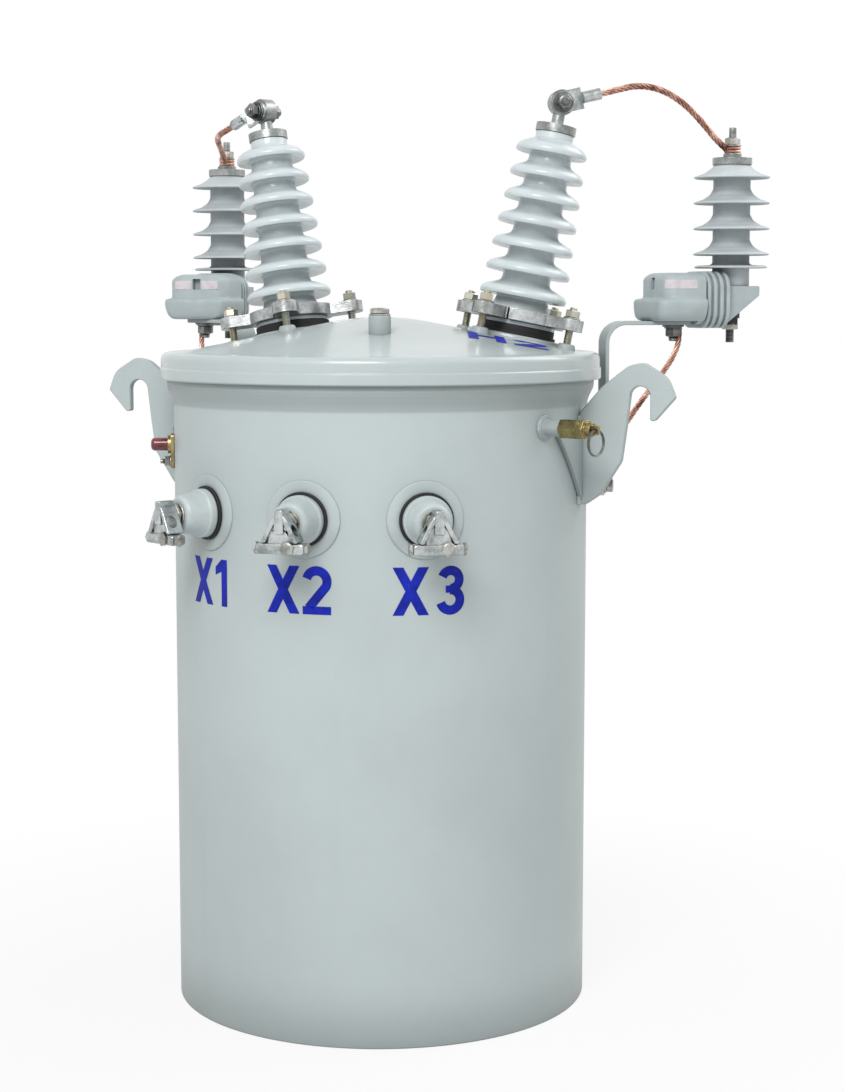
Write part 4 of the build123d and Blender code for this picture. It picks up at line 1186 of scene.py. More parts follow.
class TRANSFORMER_OT_lid(bpy.types.Operator):
    """Spin the lid with its beaded rim, cone and bushing pads, and set the filler plug."""

    bl_idname = "transformer.lid"
    bl_label = "Lid"

    def plug(self):
        """Painted boss with a plated hexagon plug screwed into it."""
        low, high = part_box("filler_plug")
        rim = high.z - PLUG_HEAD_HEIGHT
        middle = (low + high) / 2
        seat = Matrix.Translation((middle.x, middle.y, 0))
        corners = [(0, low.z), (PLUG_BOSS_RADIUS, low.z), (PLUG_BOSS_RADIUS, rim, 0.0015), (0, rim)]
        boss = rounded(corners, 0.0005)
        turned("filler_plug_boss", seat, boss, 48, "plate_enamel", "plug_paint", "filler_plug")
        head = bmesh.new()
        fastener(head, raised(seat, rim), "plug", 0.2)
        piece("filler_plug_head", head, "plated_steel", "plated_steel")

    def execute(self, context):
        inner = LID_RADIUS - LID_SHEET + BEAD_STEP
        bend = CROWN_RADIUS / sin(CONE_SLOPE)
        centre = lid_surface(CROWN_RADIUS) - bend * cos(CONE_SLOPE)
        turns = [CONE_SLOPE * step / 8 for step in range(9)]
        under = LID_SHOULDER - LID_SHEET
        profile = [
            *((bend * sin(turn), centre + bend * cos(turn)) for turn in turns),
            (CONE_RADIUS, LID_SHOULDER, 0.030),
            (LID_RADIUS, LID_SHOULDER, 0.010),
            (LID_RADIUS, LID_EDGE + BEAD_HEIGHT + BEAD_STEP, 0.0012),
            (LID_RADIUS + BEAD_STEP, LID_EDGE + BEAD_HEIGHT, 0.0015),
            (LID_RADIUS + BEAD_STEP, LID_EDGE, 0.002),
            (inner, LID_EDGE, 0.001),
            (inner, under, 0.003),
            (CONE_RADIUS, under, 0.02),
            (0, lid_surface(CROWN_RADIUS) - LID_SHEET),
        ]
        mesh = bmesh.new()
        lathe(mesh, ORIGIN, rounded(profile, 0.001, 8), 240)
        foot = -HV_PAD_RISE - 0.003
        pad = [(0, 0), (HV_PAD_RADIUS, 0, 0.0025), (HV_PAD_RADIUS + 0.001, -HV_PAD_RISE, 0.002)]
        pad = rounded(pad + [(HV_PAD_RADIUS + 0.004, foot), (0, foot)], 0.001)
        for _, hand in SIDES:
            lathe(mesh, bushing_seat(hand), pad, 96)
        piece("lid_spun", mesh, "lid_enamel", "tank_paint", "lid")
        self.plug()
        return {"FINISHED"}


class TRANSFORMER_OT_hv_bushings(bpy.types.Operator):
    """Turn the high-voltage bushings, with soft sheds, and the black rubber collars at their feet,
    which stand for the gasket and for painted shade under the clamps.
    """

    bl_idname = "transformer.hv_bushings"
    bl_label = "High-voltage bushings"

    def profile(self):
        points = [
            (0, HV_GASKET_HEIGHT),
            (HV_BASE_RADIUS, HV_GASKET_HEIGHT, 0.002),
            (HV_BASE_RADIUS, HV_BASE_TOP, 0.0015),
            (HV_SHOULDER_RADIUS, HV_BASE_TOP, 0.001),
            (HV_SHOULDER_RADIUS, CLAMP_TOP, 0.004),
        ]
        for index in range(HV_SHED_COUNT):
            share = index / (HV_SHED_COUNT - 1)
            trunk = HV_TRUNK_RADII[0] + (HV_TRUNK_RADII[1] - HV_TRUNK_RADII[0]) * share
            rim = HV_SHED_RADII[0] + (HV_SHED_RADII[1] - HV_SHED_RADII[0]) * share
            height = HV_FIRST_SHED + index * HV_SHED_PITCH
            points += [
                (trunk, height - HV_SHED_RIM + HV_SHED_UNDER_DROP, 0.004),
                (rim - 0.0015, height - HV_SHED_RIM, 0.0014),
                (rim, height - HV_SHED_RIM + 0.005, 0.0050),
                (rim - 0.0050, height + HV_SHED_RIM, 0.0090),
                (trunk, height + HV_SHED_RIM + HV_SHED_OVER_RISE, 0.007),
            ]
        points += [(HV_NECK_RADIUS, HV_NECK_FOOT + 0.001), (HV_NECK_RADIUS, HV_TOP), (0, HV_TOP)]
        return rounded(points, 0.001, 6)

    def execute(self, context):
        profile = self.profile()
        # Black collar round the bushing's foot: the gasket, and a dark sheet as painted shade under
        # the clamp.
        ring = rectangle(HV_BASE_RADIUS - 0.001, 0.001, HV_BASE_RADIUS + 0.0015, HV_GASKET_SHADE_COLLAR_TOP)
        ring = rounded(ring, 0.0008, 4, closed=True)
        for side, hand in SIDES:
            seat = bushing_seat(hand)
            node = f"hv_bushing_{side}"
            turned(f"{node}_turned", seat, profile, 96, "glazed_porcelain", "hv_glaze", node)
            turned(f"hv_gasket_shade_collar_{side}", seat, ring, 96, "black_rubber", "black_rubber", closed=True)
        return {"FINISHED"}


class TRANSFORMER_OT_hv_clamps(bpy.types.Operator):
    """Dress the clamp rings with their studs, nuts and washers."""

    bl_idname = "transformer.hv_clamps"
    bl_label = "High-voltage clamps"

    def execute(self, context):
        sizes = context.scene.transformer_sizes
        nut_height = sizes.clamp_nut * 0.55
        stud_height = CLAMP_TOP + nut_height + CLAMP_STUD_END
        foot_profile = rounded([(0, 0.009), (0.0095, 0.009, 0.002), (0.0125, 0), (0, 0)], 0.001)
        for side, hand in SIDES:
            eased(f"hv_clamp_{side}", "cast_aluminium", "cast_aluminium", 0.0016)
            studs, washers, feet = bmesh.new(), bmesh.new(), bmesh.new()
            for quarter in range(4):
                angle = radians(45 + 90 * quarter)
                turn = angle + 0.3 * quarter
                across = CLAMP_STUD_RADIUS * cos(angle), CLAMP_STUD_RADIUS * sin(angle)
                foot = moved(bushing_seat(hand), *across)
                threaded_stud(studs, raised(foot, -CLAMP_STUD_SINK), sizes.clamp_stud, stud_height)
                nut = raised(foot, CLAMP_TOP + CLAMP_WASHER)
                hex_head(studs, nut, sizes.clamp_nut, nut_height, turn)
                washer(washers, raised(foot, CLAMP_TOP), sizes.clamp_nut * 0.66, CLAMP_WASHER)
                lathe(feet, raised(foot, -HV_PAD_RISE - 0.004), foot_profile, 28)
            piece(f"hv_clamp_feet_{side}", feet, "plate_enamel", "tank_paint")
            piece(f"hv_clamp_studs_{side}", studs, "yellow_chromate", "plated_steel")
            piece(f"hv_clamp_washers_{side}", washers, "plated_steel", "plated_steel")
        return {"FINISHED"}


class TRANSFORMER_OT_hv_terminals(bpy.types.Operator):
    """Dress the bushing terminals and cable lugs with their bolts."""

    bl_idname = "transformer.hv_terminals"
    bl_label = "High-voltage terminals"

    def execute(self, context):
        eye_height = HV_TOP + TERMINAL_CAP_HEIGHT + TERMINAL_NECK_HEIGHT + TERMINAL_EYE_RADIUS
        for side, hand in SIDES:
            eased(f"hv_terminal_{side}", "dull_tin", "tinned_metal", 0.0012)
            eased(f"cable_lug_{side}", "tinned_metal", "tinned_metal", 0.0003)
            seat = bushing_seat(hand)
            eye = seat @ Vector((0, 0, eye_height))
            front = (seat.to_3x3() @ Vector((0, -hand, 0))).normalized()
            along = (seat.to_3x3() @ Vector((1, 0, 0))).normalized()
            ahead = axes(eye + front * (TERMINAL_EYE_WIDTH / 2 + LUG_PALM_SHEET), along, front)
            behind = axes(eye - front * (TERMINAL_EYE_WIDTH / 2), along, -front)
            bolts = bmesh.new()
            fastener(bolts, ahead, "terminal_front", 0.4)
            fastener(bolts, behind, "terminal_back", 0.2)
            piece(f"hv_terminal_bolt_{side}", bolts, "dark_steel", "plated_steel")
        return {"FINISHED"}


class TRANSFORMER_OT_arresters(bpy.types.Operator):
    """Turn the arrester housings and dress their caps, arms, straps and disconnectors."""

    bl_idname = "transformer.arresters"
    bl_label = "Surge arresters"

    def housing(self):
        points = [(0, 0), (ARRESTER_CORE_RADIUS, 0, 0.001)]
        sheds = [(*ARRESTER_FLAT_SHED, ARRESTER_FLAT)]
        for index in range(ARRESTER_SHED_COUNT):
            height = ARRESTER_FIRST_SHED + index * ARRESTER_SHED_PITCH
            sheds.append((height, ARRESTER_SHED_RADIUS, ARRESTER_BELL))
        for height, radius, upper in sheds:
            points += [
                (ARRESTER_CORE_RADIUS, height + 0.0035, 0.003),
                (radius - 0.002, height - 0.0002, 0.0012),
                (radius, height + 0.0006, 0.001),
                (radius, height + 0.0018, 0.001),
                (radius - 0.003, height + 0.0032, 0.006),
            ]
            for reach, rise, corner in upper:
                level = min(height + rise, ARRESTER_HEIGHT - 0.001)
                points.append((ARRESTER_CORE_RADIUS + reach, level, corner))
        points += [(ARRESTER_CORE_RADIUS, ARRESTER_HEIGHT, 0.001), (0, ARRESTER_HEIGHT)]
        return rounded(points, 0.001, 5)

    def labels(self, side, place):
        """Bare label patches on the arm's moulding, bent round its corner where they reach it."""
        mesh = bmesh.new()
        for along, height, half_width, half_height in ARM_LABELS[side]:
            low, high = height - half_height, height + half_height
            outline = rectangle(along - half_width, low, along + half_width, high)
            prism(mesh, ORIGIN, rounded(outline, 0.001, 3, closed=True), -LABEL_FILM, LABEL_FILM)
        strips(mesh, Vector((1, 0, 0)), 0.0015)
        bend_start = ARM_UPPER_ROUND - ARM_UPPER_BACK
        deep = ARM_UPPER_HALF - ARM_UPPER_ROUND
        for vertex in mesh.verts:
            along, height, rise = vertex.co
            spot = Vector((-ARM_UPPER_BACK - rise, -along, height))
            if side == "right":
                turn = max(bend_start - along, 0) / ARM_UPPER_ROUND
                reach = ARM_UPPER_ROUND + rise
                spot.x = max(along, bend_start) - reach * sin(turn)
                spot.y = -deep - reach * cos(turn)
            vertex.co = place @ spot
        piece(f"arm_label_{side}", mesh, "blank_label", "arm_moulding")

    def arm(self, side, place):
        """Moulded arm: two rounded tiers with a notch, ring ribs and a wedge under the arrester."""
        levels = []
        for height, half, back, corner in ARM_LEVELS:
            ends = [(ARM_BLOCK_FRONT, -half, 0.0004), (ARM_BLOCK_FRONT, half, 0.0004)]
            ends += [(-back, half, corner), (-back, -half, corner)]
            levels.append((height, rounded(ends, 0.001, 8, closed=True)))
        block = bmesh.new()
        loft(block, place, levels)
        half, low, high, depth = ARM_NOTCH
        cutter = bmesh.new()
        prism(cutter, place, rectangle(-0.060, -half, depth - ARM_UPPER_BACK, half), low, high)
        mesh = cut_away(block, cutter)
        turn = place.to_3x3()
        section = axes(place.translation, turn @ Vector((0, 1, 0)), turn @ Vector((1, 0, 0)))
        half, low, high, corner = ARM_RIB_SECTION
        ring = rounded(rectangle(-half, low, half, high), corner, 10, closed=True)
        count, thickness, gap = ARM_RIBS
        core = (ARM_BLOCK_FRONT - 0.004, ARM_SHELF[0] + 0.001)
        prism(mesh, section, inset(ring, ARM_RIB_DEPTH), *core)
        for index in range(count):
            start = ARM_BLOCK_FRONT + gap + index * (thickness + gap)
            prism(mesh, section, ring, start, start + thickness, 0.0018, 3)
        start, tip, half, tip_low = ARM_SHELF
        lift = ARRESTER_BASE - STRAP_TOP
        wedge = [(start, -0.004, 0.002), (tip, tip_low, 0.003)]
        wedge += [(tip, lift, 0.002), (start, lift, 0.001)]
        side_plane = axes(place.translation, turn @ Vector((1, 0, 0)), turn @ Vector((0, -1, 0)))
        prism(mesh, side_plane, rounded(wedge, 0.001, 4, closed=True), -half, half, 0.0009, 2)
        node = f"arrester_arm_{side}"
        piece(f"{node}_moulded", mesh, "arm_moulding", "arm_moulding", node)

    def top_hardware(self, side, foot):
        """Threaded stud, with the washers and nut that hold the jumper's eye on it."""
        level = JUMPER_ROUTES[side][-1][2] - ARRESTER_BASE
        hardware = bmesh.new()
        washer(hardware, raised(foot, level - JUMPER_WASHER_DROP), *JUMPER_WASHER)
        fastener(hardware, raised(foot, level + JUMPER_NUT_RISE), "arrester", 0.25)
        piece(f"arrester_nut_{side}", hardware, "plated_steel", "plated_steel")
        stud = bmesh.new()
        height = ARRESTER_STUD_TOP - ARRESTER_BASE - level
        threaded_stud(stud, raised(foot, level), ARRESTER_STUD_RADIUS + 0.0003, height)
        piece(f"arrester_stud_{side}", stud, "dark_steel", "plated_steel")
        eye = bmesh.new()
        for offset in (-JUMPER_EYE_LAYER, JUMPER_EYE_LAYER):
            ring = circle(foot, JUMPER_EYE_RADIUS, level + offset, 40)
            tube(eye, ring, JUMPER_EYE_STRAND, closed=True)
        piece(f"jumper_eye_{side}", eye, "copper_strand", "copper_strand")

    def strap_hardware(self, side, hand, place, bead):
        """Bolt under the strap, the lead's ring lug, and the welds at the strap's foot."""
        under = axes(place.translation - UP * STRAP_SHEET, Vector((1, 0, 0)), -UP)
        bolt = bmesh.new()
        washer(bolt, under, *STRAP_WASHER)
        hex_head(bolt, raised(under, STRAP_WASHER[1] + LEAD_LUG[1]), *STRAP_HEAD, 0.3)
        threaded_stud(bolt, under, *STRAP_STUD)
        lug = rounded(rectangle(0, 0, *LEAD_LUG), 0.0005)
        lathe(bolt, raised(under, STRAP_WASHER[1]), lug, 32)
        piece(f"strap_bolt_{side}", bolt, "dark_steel", "plated_steel")
        foot = upright(hand * STRAP_AZIMUTH, TANK_RADIUS, 0)
        edges = (-STRAP_WIDTH / 2, STRAP_WIDTH / 2)
        lines = [[foot @ Vector((0.0004, edge, height)) for height in STRAP_FOOT] for edge in edges]
        welds(f"strap_weld_{side}", lines, bead)

    def tail_hardware(self, side, foot):
        """Threaded tail under the disconnector with its nut."""
        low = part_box(f"arrester_disconnector_{side}")[0].z - foot.translation.z
        tail = bmesh.new()
        threaded_stud(tail, raised(foot, low), *TAIL_STUD)
        hex_head(tail, raised(foot, low + TAIL_NUT_RISE), *TAIL_NUT, 0.2)
        piece(f"arrester_tail_{side}", tail, "plated_steel", "plated_steel")

    def execute(self, context):
        profile = self.housing()
        for side, hand in SIDES:
            place = arm_place(side, hand)
            axis = place @ Vector((ARM_LENGTH, 0, 0))
            foot = axes(Vector((axis.x, axis.y, ARRESTER_BASE)), Vector((1, 0, 0)), UP)
            node = f"arrester_{side}"
            turned(f"{node}_turned", foot, profile, 96, "silicone_rubber", "grey_polymer", node)
            self.arm(side, place)
            eased(f"arrester_strap_{side}", "plate_enamel", "tank_paint", 0.001)
            eased(f"arrester_disconnector_{side}", "black_moulding", "black_moulding", 0.0008)
            self.labels(side, place)
            self.top_hardware(side, foot)
            self.strap_hardware(side, hand, place, context.scene.transformer_sizes.weld_bead)
            self.tail_hardware(side, foot)
        eased("arrester_caps", "dull_tin", "plated_steel", 0.0008)
        return {"FINISHED"}


class TRANSFORMER_OT_lv_bushings(bpy.types.Operator):
    """Turn the low-voltage bushings and dress their clamp terminals."""

    bl_idname = "transformer.lv_bushings"
    bl_label = "Low-voltage bushings"

    def execute(self, context):
        profile = rounded(
            [
                (0, 0),
                (LV_FLANGE[0], 0, 0.0012),
                (LV_FLANGE[0], LV_FLANGE[1], 0.004),
                (LV_FLANGE[0] - 0.0016, LV_FLANGE[1] + 0.002, 0.004),
                (LV_NOSE[0] + 0.001, LV_NOSE[1] - 0.004, 0.006),
                (LV_NOSE[0] - 0.002, LV_NOSE[1], 0.003),
                (0.013, LV_NOSE[1], 0.001),
                (0.012, LV_NOSE[1] - 0.001, 0.0005),
                (0, LV_NOSE[1] - 0.001),
            ],
            0.001,
        )
        ring = rounded(rectangle(0, 0, LV_GASKET_RADIUS, LV_GASKET_HEIGHT), 0.0015)
        gaskets = bmesh.new()
        for number, azimuth in enumerate(LV_AZIMUTHS, start=1):
            lathe(gaskets, facing(azimuth, TANK_RADIUS + LV_BOSS_RISE, LV_HEIGHT), ring, 72)
            body = facing(azimuth, TANK_RADIUS + LV_BOSS_RISE + LV_GASKET_HEIGHT, LV_HEIGHT)
            node = f"lv_bushing_x{number}"
            turned(f"{node}_turned", body, profile, 72, "epoxy_moulding", "lv_moulding", node)
            self.clamp(number, raised(body, LV_NOSE[1]))
            self.hardware(number, raised(body, LV_NOSE[1]))
        piece("lv_gaskets_pressed", gaskets, "black_rubber", "black_rubber", "lv_gaskets")
        return {"FINISHED"}

    def clamp(self, number, nose):
        """Cast clamp: a domed yoke with a post and two legs over the conductor's bar."""
        mesh = bmesh.new()
        low, high = LV_STUD_HEIGHT, LV_STUD_HEIGHT + LV_YOKE_DEPTH
        lathe(mesh, nose, rectangle(0, 0, LV_POST_RADIUS, low + 0.004), 32)
        prism(mesh, nose, rounded(LV_DOME, 0.002, 6, closed=True), low, high - 0.0055, 0.004, 4)
        prism(mesh, nose, rounded(LV_POST, 0.0022, 4, closed=True), low, high - 0.0015, 0.0018, 3)
        for hand in (-1, 1):
            leg = rounded([(hand * x, y) for x, y in LV_LEG], 0.0014, 4, closed=True)
            prism(mesh, nose, leg, low, high - 0.0030, 0.0012, 3)
        half, deep = LV_BAR
        bore = bmesh.new()
        across = moved(nose, 0, -LV_BORE_DROP, low + LV_YOKE_DEPTH / 2) @ SIDEWAYS
        lathe(bore, across, rectangle(0, -half, LV_BORE_RADIUS, half), 32)
        mesh = cut_away(mesh, bore)
        bar = rounded(rectangle(-half, -deep, half, deep), 0.0035, 5, closed=True)
        prism(mesh, moved(nose, 0, -LV_BAR_DROP, low), bar, 0.002, 0.0205, 0.0022, 3)
        node = f"lv_terminal_x{number}"
        piece(f"{node}_cast", mesh, "tinned_metal", "tinned_metal", node)

    def hardware(self, number, nose):
        """Lock nut on the stud, clamp bolt through the bar, and a set bolt on its front."""
        bolts = bmesh.new()
        fastener(bolts, nose, "lock_nut", 0.2)
        across = moved(nose, 0, -LV_BAR_DROP, LV_STUD_HEIGHT + LV_CROSS_RISE) @ SIDEWAYS
        threaded_stud(bolts, raised(across, LV_CROSS_START), *LV_CROSS_STUD)
        for seat, turn in LV_CROSS_SEATS:
            hex_head(bolts, raised(across, seat), *LV_CROSS_NUT, turn)
        x, y, z = LV_FRONT_PLACE
        hex_head(bolts, moved(nose, x, y - LV_BAR_DROP, z + LV_STUD_HEIGHT), *LV_FRONT_HEAD, 0.3)
        piece(f"lv_terminal_bolts_x{number}", bolts, "plated_steel", "tinned_metal")


class TRANSFORMER_OT_wall_fittings(bpy.types.Operator):
    """Dress the hooks, relief valve, indicator, brackets and earth bosses, with their welds."""

    bl_idname = "transformer.wall_fittings"
    bl_label = "Wall fittings"

    def execute(self, context):
        sizes = context.scene.transformer_sizes
        self.hooks(sizes)
        self.relief_valve(sizes)
        self.indicator()
        self.brackets(sizes)
        self.earth_bosses()
        for node in ("lid_gasket", "hv_gaskets"):
            eased(node, "black_rubber", "black_rubber", 0.0006)
        return {"FINISHED"}

    def hook_outline(self):
        """Reach from the wall and height above the root of the hooked plate's corners."""
        reach, height, radius = HOOK_SLOT
        turns = [pi * step / 20 for step in range(1, 20)]
        bow = [(reach + radius * cos(turn), height + radius * sin(turn)) for turn in turns]
        return rounded(HOOK_BACK, 0.001, 8) + bow + rounded(HOOK_BELLY, 0.001, 8)

    def hook_foot(self, mesh, hand):
        """Triangular foot of the hook, bent round on to the wall."""
        sheet = bmesh.new()
        width = TANK_RADIUS * radians(90 - HOOK_FOOT_AZIMUTH)
        corners = [(0, HOOK_ROOT[0], 0.002), (0, HOOK_FOOT_TOP, 0.001)]
        corners += [(-width, HOOK_FOOT_TOP, 0.004)]
        outline = rounded(corners, 0.001, 4, closed=True)
        prism(sheet, ORIGIN, outline, 0.0002, HOOK_FOOT_SHEET, 0.0009)
        strips(sheet, Vector((1, 0, 0)), 0.006)
        for vertex in sheet.verts:
            turn = hand * (90 + degrees(vertex.co.x / TANK_RADIUS))
            vertex.co = radial(turn) * (TANK_RADIUS + vertex.co.z) + UP * vertex.co.y
        data = bpy.data.meshes.new("foot")
        sheet.to_mesh(data)
        sheet.free()
        mesh.from_mesh(data)
        bpy.data.meshes.remove(data)

    def hooks(self, sizes):
        edges = (-HOOK_SHEET / 2, HOOK_SHEET / 2)
        for side, hand in SIDES:
            plate = Matrix(((hand, 0, 0), (0, 0, hand), (0, 1, 0))).to_4x4()
            plate.translation = Vector((hand * TANK_RADIUS, 0, HOOK_HIGH))
            mesh = bmesh.new()
            prism(mesh, plate, self.hook_outline(), *edges, sizes.edge_round)
            self.hook_foot(mesh, hand)
            node = f"lifting_lug_{side}"
            piece(f"{node}_cut", mesh, "plate_enamel", "tank_paint", node)
            reach = hand * (TANK_RADIUS + 0.0006)
            lines = [[(reach, edge, height) for height in HOOK_ROOT] for edge in edges]
            welds(f"lifting_lug_weld_{side}", lines, sizes.weld_bead * 1.15)

    def relief_valve(self, sizes):
        eased("relief_nipple", "plate_enamel", "plated_steel", 0.001)
        eased("relief_body", "machined_brass", "valve_brass", 0.0008)
        seat = facing(RELIEF_AZIMUTH, TANK_RADIUS, RELIEF_HEIGHT)
        line = circle(seat, RELIEF_WELD_RADIUS, 0.0005, 36)
        welds("relief_nipple_weld", [line + line[:1]], sizes.weld_bead * 0.7)
        low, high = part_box("relief_ring")
        seat.translation = (low + high) / 2
        loop = bmesh.new()
        for layer in (-RELIEF_LAYER, RELIEF_LAYER):
            tube(loop, circle(seat, RELIEF_RING_RADIUS, layer, 64), RELIEF_WIRE, closed=True)
        piece("relief_ring_split", loop, "dark_steel", "dark_wire", "relief_ring")

    def indicator(self):
        eased("indicator_plate", "machined_brass", "plated_steel", 0.0008)
        eased("indicator_lens", "red_lens", "red_lens", 0.0004)
        seat = facing(INDICATOR_AZIMUTH, TANK_RADIUS, INDICATOR_HEIGHT)
        bolt = bmesh.new()
        fastener(bolt, moved(seat, 0, -INDICATOR_BOLT_DROP, INDICATOR_SHEET), "indicator", 0.2)
        piece("indicator_bolt", bolt, "plated_steel", "plated_steel")

    def brackets(self, sizes):
        depth = sqrt(TANK_RADIUS**2 - BRACKET_HALF_WIDTH**2) + 0.0005
        edges = (-BRACKET_HALF_WIDTH, BRACKET_HALF_WIDTH)
        for name, height in zip(("lower", "upper"), BRACKET_HEIGHTS):
            eased(f"pole_bracket_{name}", "plate_enamel", "tank_paint", 0.0014)
            ends = (height - BRACKET_HALF_HEIGHT, height + BRACKET_HALF_HEIGHT)
            lines = [[(edge, depth, end) for end in ends] for edge in edges]
            welds(f"pole_bracket_weld_{name}", lines, sizes.weld_bead * 1.2)

    def earth_bosses(self):
        eased("earth_bosses", "plated_steel", "plated_steel", 0.001)
        for side, hand in SIDES:
            bolt = bmesh.new()
            seat = facing(hand * EARTH_AZIMUTH, TANK_RADIUS + EARTH_RISE, EARTH_HEIGHT)
            fastener(bolt, seat, "earth", 0.2)
            piece(f"earth_bolt_{side}", bolt, "plated_steel", "plated_steel")


class TRANSFORMER_OT_marks(bpy.types.Operator):
    """Paint the terminal marks on the tank's wall and on the lid."""

    bl_idname = "transformer.marks"
    bl_label = "Terminal marks"

    def ribbon(self, mesh, points, width):
        """Flat stroke along a line."""
        line = [Vector(point) for point in points]
        edges = []
        for index, point in enumerate(line):
            way = (line[min(index + 1, len(line) - 1)] - line[max(index - 1, 0)]).normalized()
            side = Vector((-way.y, way.x)) * (width / 2)
            edges.append([mesh.verts.new((*spot, 0)) for spot in (point + side, point - side)])
        for (left, right), (next_left, next_right) in zip(edges, edges[1:]):
            mesh.faces.new((right, next_right, next_left, left))

    def bend(self, centre, radius, first, last):
        """Points of an arc, between two angles in degrees."""
        angles = [radians(first + (last - first) * step / 20) for step in range(21)]
        x, y = centre
        return [(x + radius * cos(angle), y + radius * sin(angle)) for angle in angles]

    def glyph(self, mesh, letter):
        """Adds one bold letter of unit height at the origin; returns its width."""
        heavy = 0.195
        corners = {
            "X": [
                [(0, 0), (0.225, 0), (0.38, 0.29), (0.38, 0.71), (0.225, 1), (0, 1), (0.265, 0.5)],
                [
                    (0.38, 0.29), (0.535, 0), (0.76, 0), (0.495, 0.5),
                    (0.76, 1), (0.535, 1), (0.38, 0.71),
                ],
            ],
            "1": [rectangle(0.20, 0, 0.38, 1), [(0, 0.66), (0.20, 0.74), (0.20, 1), (0, 0.83)]],
            "2": [rectangle(0, 0, 0.62, 0.17)],
            "3": [rectangle(0.20, 0.45, 0.34, 0.60)],
            "H": [
                rectangle(0, 0, 0.18, 1),
                rectangle(0.50, 0, 0.68, 1),
                rectangle(0.18, 0.42, 0.50, 0.58),
            ],
        }
        strokes = {
            "2": [self.bend((0.31, 0.69), 0.225, 165, -30) + [(0.13, 0.13)]],
            "3": [
                self.bend((0.31, 0.725), 0.190, 160, -90),
                self.bend((0.30, 0.30), 0.215, 90, -165),
            ],
        }
        for shape in corners[letter]:
            mesh.faces.new([mesh.verts.new((x, y, 0)) for x, y in shape])
        for points in strokes.get(letter, []):
            self.ribbon(mesh, points, heavy)
        return {"X": 0.76, "1": 0.38, "2": 0.62, "3": 0.60, "H": 0.68}[letter]

    def outline(self, words, height, gap):
        """Flat mesh of some letters about their middle, cut into narrow strips."""
        mesh = bmesh.new()
        start = 0.0
        for letter in words:
            before = set(mesh.verts)
            width = self.glyph(mesh, letter)
            for vertex in set(mesh.verts) - before:
                vertex.co.x += start
            start += width + gap
        reach = (start - gap) / 2
        for vertex in mesh.verts:
            vertex.co = Vector((vertex.co.x - reach, vertex.co.y - 0.5, 0)) * height
        for axis in (Vector((1, 0, 0)), Vector((0, 1, 0))):
            strips(mesh, axis, 0.004)
        return mesh

    def execute(self, context):
        tall = context.scene.transformer_sizes.mark_height
        for number, (azimuth, gap) in enumerate(zip(MARK_AZIMUTHS, MARK_GAPS), start=1):
            mesh = self.outline(f"X{number}", tall, gap)
            for vertex in mesh.verts:
                turn = azimuth + degrees(vertex.co.x / TANK_RADIUS)
                height = MARK_HEIGHT + vertex.co.y
                vertex.co = radial(turn) * (TANK_RADIUS + MARK_FILM) + UP * height
            piece(f"mark_x{number}", mesh, "mark_paint", "tank_paint")
        mesh = self.outline("H2", tall * LID_MARK_SCALE, LID_MARK_GAP)
        along = radial(LID_MARK_AZIMUTH)
        inward = UP.cross(along)
        for vertex in mesh.verts:
            spot = LID_MARK_PLACE + along * vertex.co.x + inward * vertex.co.y
            vertex.co = spot + UP * (lid_surface(spot.length) + MARK_FILM * 2)
        piece("mark_h2", mesh, "mark_paint", "tank_paint")
        return {"FINISHED"}


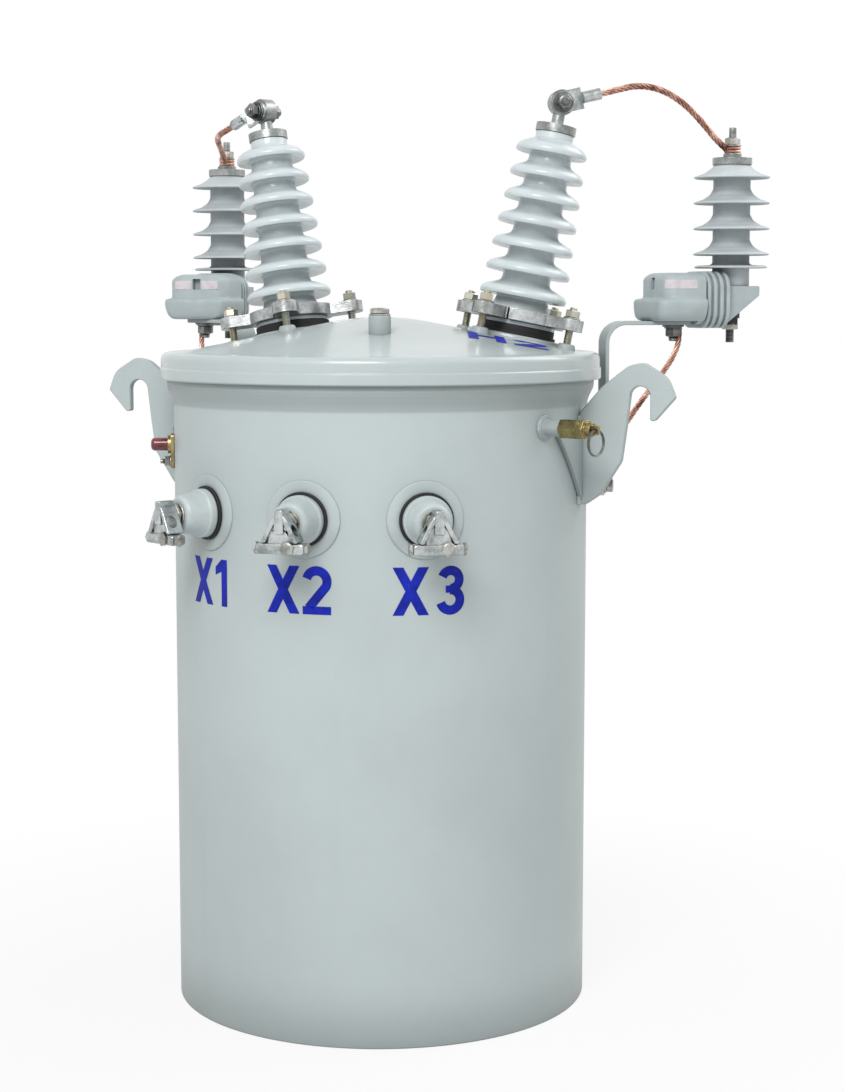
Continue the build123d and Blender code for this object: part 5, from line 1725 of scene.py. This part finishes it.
class TRANSFORMER_OT_stage(bpy.types.Operator):
    """Set the pale floor, the soft studio light and the camera."""

    bl_idname = "transformer.stage"
    bl_label = "Stage"

    def execute(self, context):
        self.floor()
        self.world()
        for name, values in LAMPS.items():
            self.lamp(name, *values)
        self.camera(bpy.context.scene.transformer_camera)
        bpy.context.scene.view_settings.view_transform = "Standard"
        return {"FINISHED"}

    def floor(self):
        mesh = bmesh.new()
        bmesh.ops.create_grid(mesh, x_segments=1, y_segments=1, size=30)
        data = bpy.data.meshes.new("floor")
        mesh.to_mesh(data)
        mesh.free()
        floor = bpy.data.objects.new("floor", data)
        bpy.context.scene.collection.objects.link(floor)
        finish = Finish("floor_paint", Roughness=0.9)
        finish.shader.inputs["Base Color"].default_value = (0.8, 0.8, 0.8, 1)
        finish.shader.inputs["Specular IOR Level"].default_value = 0.1
        data.materials.append(finish.material)
        glow = finish.node("ShaderNodeEmission", {}, {"Color": (1, 1, 1, 1), "Strength": 1.0})[0]
        reach = finish.node("ShaderNodeVectorMath", {"operation": "LENGTH"}, {0: finish.place})[1]
        share = finish.seen() * (0.86 + finish.window(reach, 0.3, 1.1) * 0.14)
        body = Socket(finish, finish.shader.outputs[0])
        mixed = finish.node("ShaderNodeMixShader", {}, {0: share, 1: body, 2: glow})[0]
        finish.surface("Material Output", mixed)

    def world(self):
        world = bpy.data.worlds.new("studio")
        world.use_nodes = True
        bpy.context.scene.world = world
        graph = Graph(world.node_tree)
        strength = 0.45 + graph.seen() * 0.55
        inputs = {"Color": (1, 1, 1, 1), "Strength": strength}
        sky = graph.node("ShaderNodeBackground", {}, inputs)[0]
        graph.surface("World Output", sky)

    def lamp(self, name, place, target, size, power):
        data = bpy.data.lights.new(name, "AREA")
        data.shape = "DISK"
        data.size = size
        data.energy = power
        lamp = bpy.data.objects.new(name, data)
        lamp.location = place
        lamp.rotation_euler = (Vector(target) - Vector(place)).to_track_quat("-Z", "Y").to_euler()
        bpy.context.scene.collection.objects.link(lamp)

    def camera(self, view):
        level = Vector((-sin(view.azimuth), cos(view.azimuth), 0))
        right = Vector((cos(view.azimuth), sin(view.azimuth), 0))
        heading = level * cos(view.yaw) + right * sin(view.yaw)
        forward = heading * cos(view.pitch) - UP * sin(view.pitch)
        data = bpy.data.cameras.new("camera")
        data.sensor_fit = "VERTICAL"
        data.sensor_height = 36
        data.lens = view.lens
        camera = bpy.data.objects.new("camera", data)
        camera.location = UP * view.height - level * view.distance
        camera.rotation_euler = forward.to_track_quat("-Z", "Y").to_euler()
        bpy.context.scene.collection.objects.link(camera)
        bpy.context.scene.camera = camera


OPERATORS = (
    TRANSFORMER_OT_conductors,
    TRANSFORMER_OT_tank,
    TRANSFORMER_OT_lid,
    TRANSFORMER_OT_hv_bushings,
    TRANSFORMER_OT_hv_clamps,
    TRANSFORMER_OT_hv_terminals,
    TRANSFORMER_OT_arresters,
    TRANSFORMER_OT_lv_bushings,
    TRANSFORMER_OT_wall_fittings,
    TRANSFORMER_OT_marks,
    TRANSFORMER_OT_stage,
)


class TRANSFORMER_PT_sidebar(bpy.types.Panel):
    """Lists the settings and the operators."""

    bl_label = "Pole transformer"
    bl_space_type = "VIEW_3D"
    bl_region_type = "UI"
    bl_category = "Transformer"

    def draw(self, context):
        for operator in OPERATORS:
            self.layout.operator(operator.bl_idname)
        for group in (context.scene.transformer_sizes, context.scene.transformer_colours):
            for name in group.__annotations__:
                self.layout.prop(group, name)


CLASSES = (
    TransformerColours, TransformerSizes, TransformerCamera, *OPERATORS, TRANSFORMER_PT_sidebar
)


def register():
    for each in CLASSES:
        bpy.utils.register_class(each)
    bpy.types.Scene.transformer_colours = PointerProperty(type=TransformerColours)
    bpy.types.Scene.transformer_sizes = PointerProperty(type=TransformerSizes)
    bpy.types.Scene.transformer_camera = PointerProperty(type=TransformerCamera)


def unregister():
    del bpy.types.Scene.transformer_camera
    del bpy.types.Scene.transformer_sizes
    del bpy.types.Scene.transformer_colours
    for each in reversed(CLASSES):
        bpy.utils.unregister_class(each)


def main():
    """Registers the classes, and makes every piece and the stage."""
    register()
    for operator in OPERATORS:
        group, name = operator.bl_idname.split(".")
        getattr(getattr(bpy.ops, group), name)()


if __name__ == "__main__":
    main()
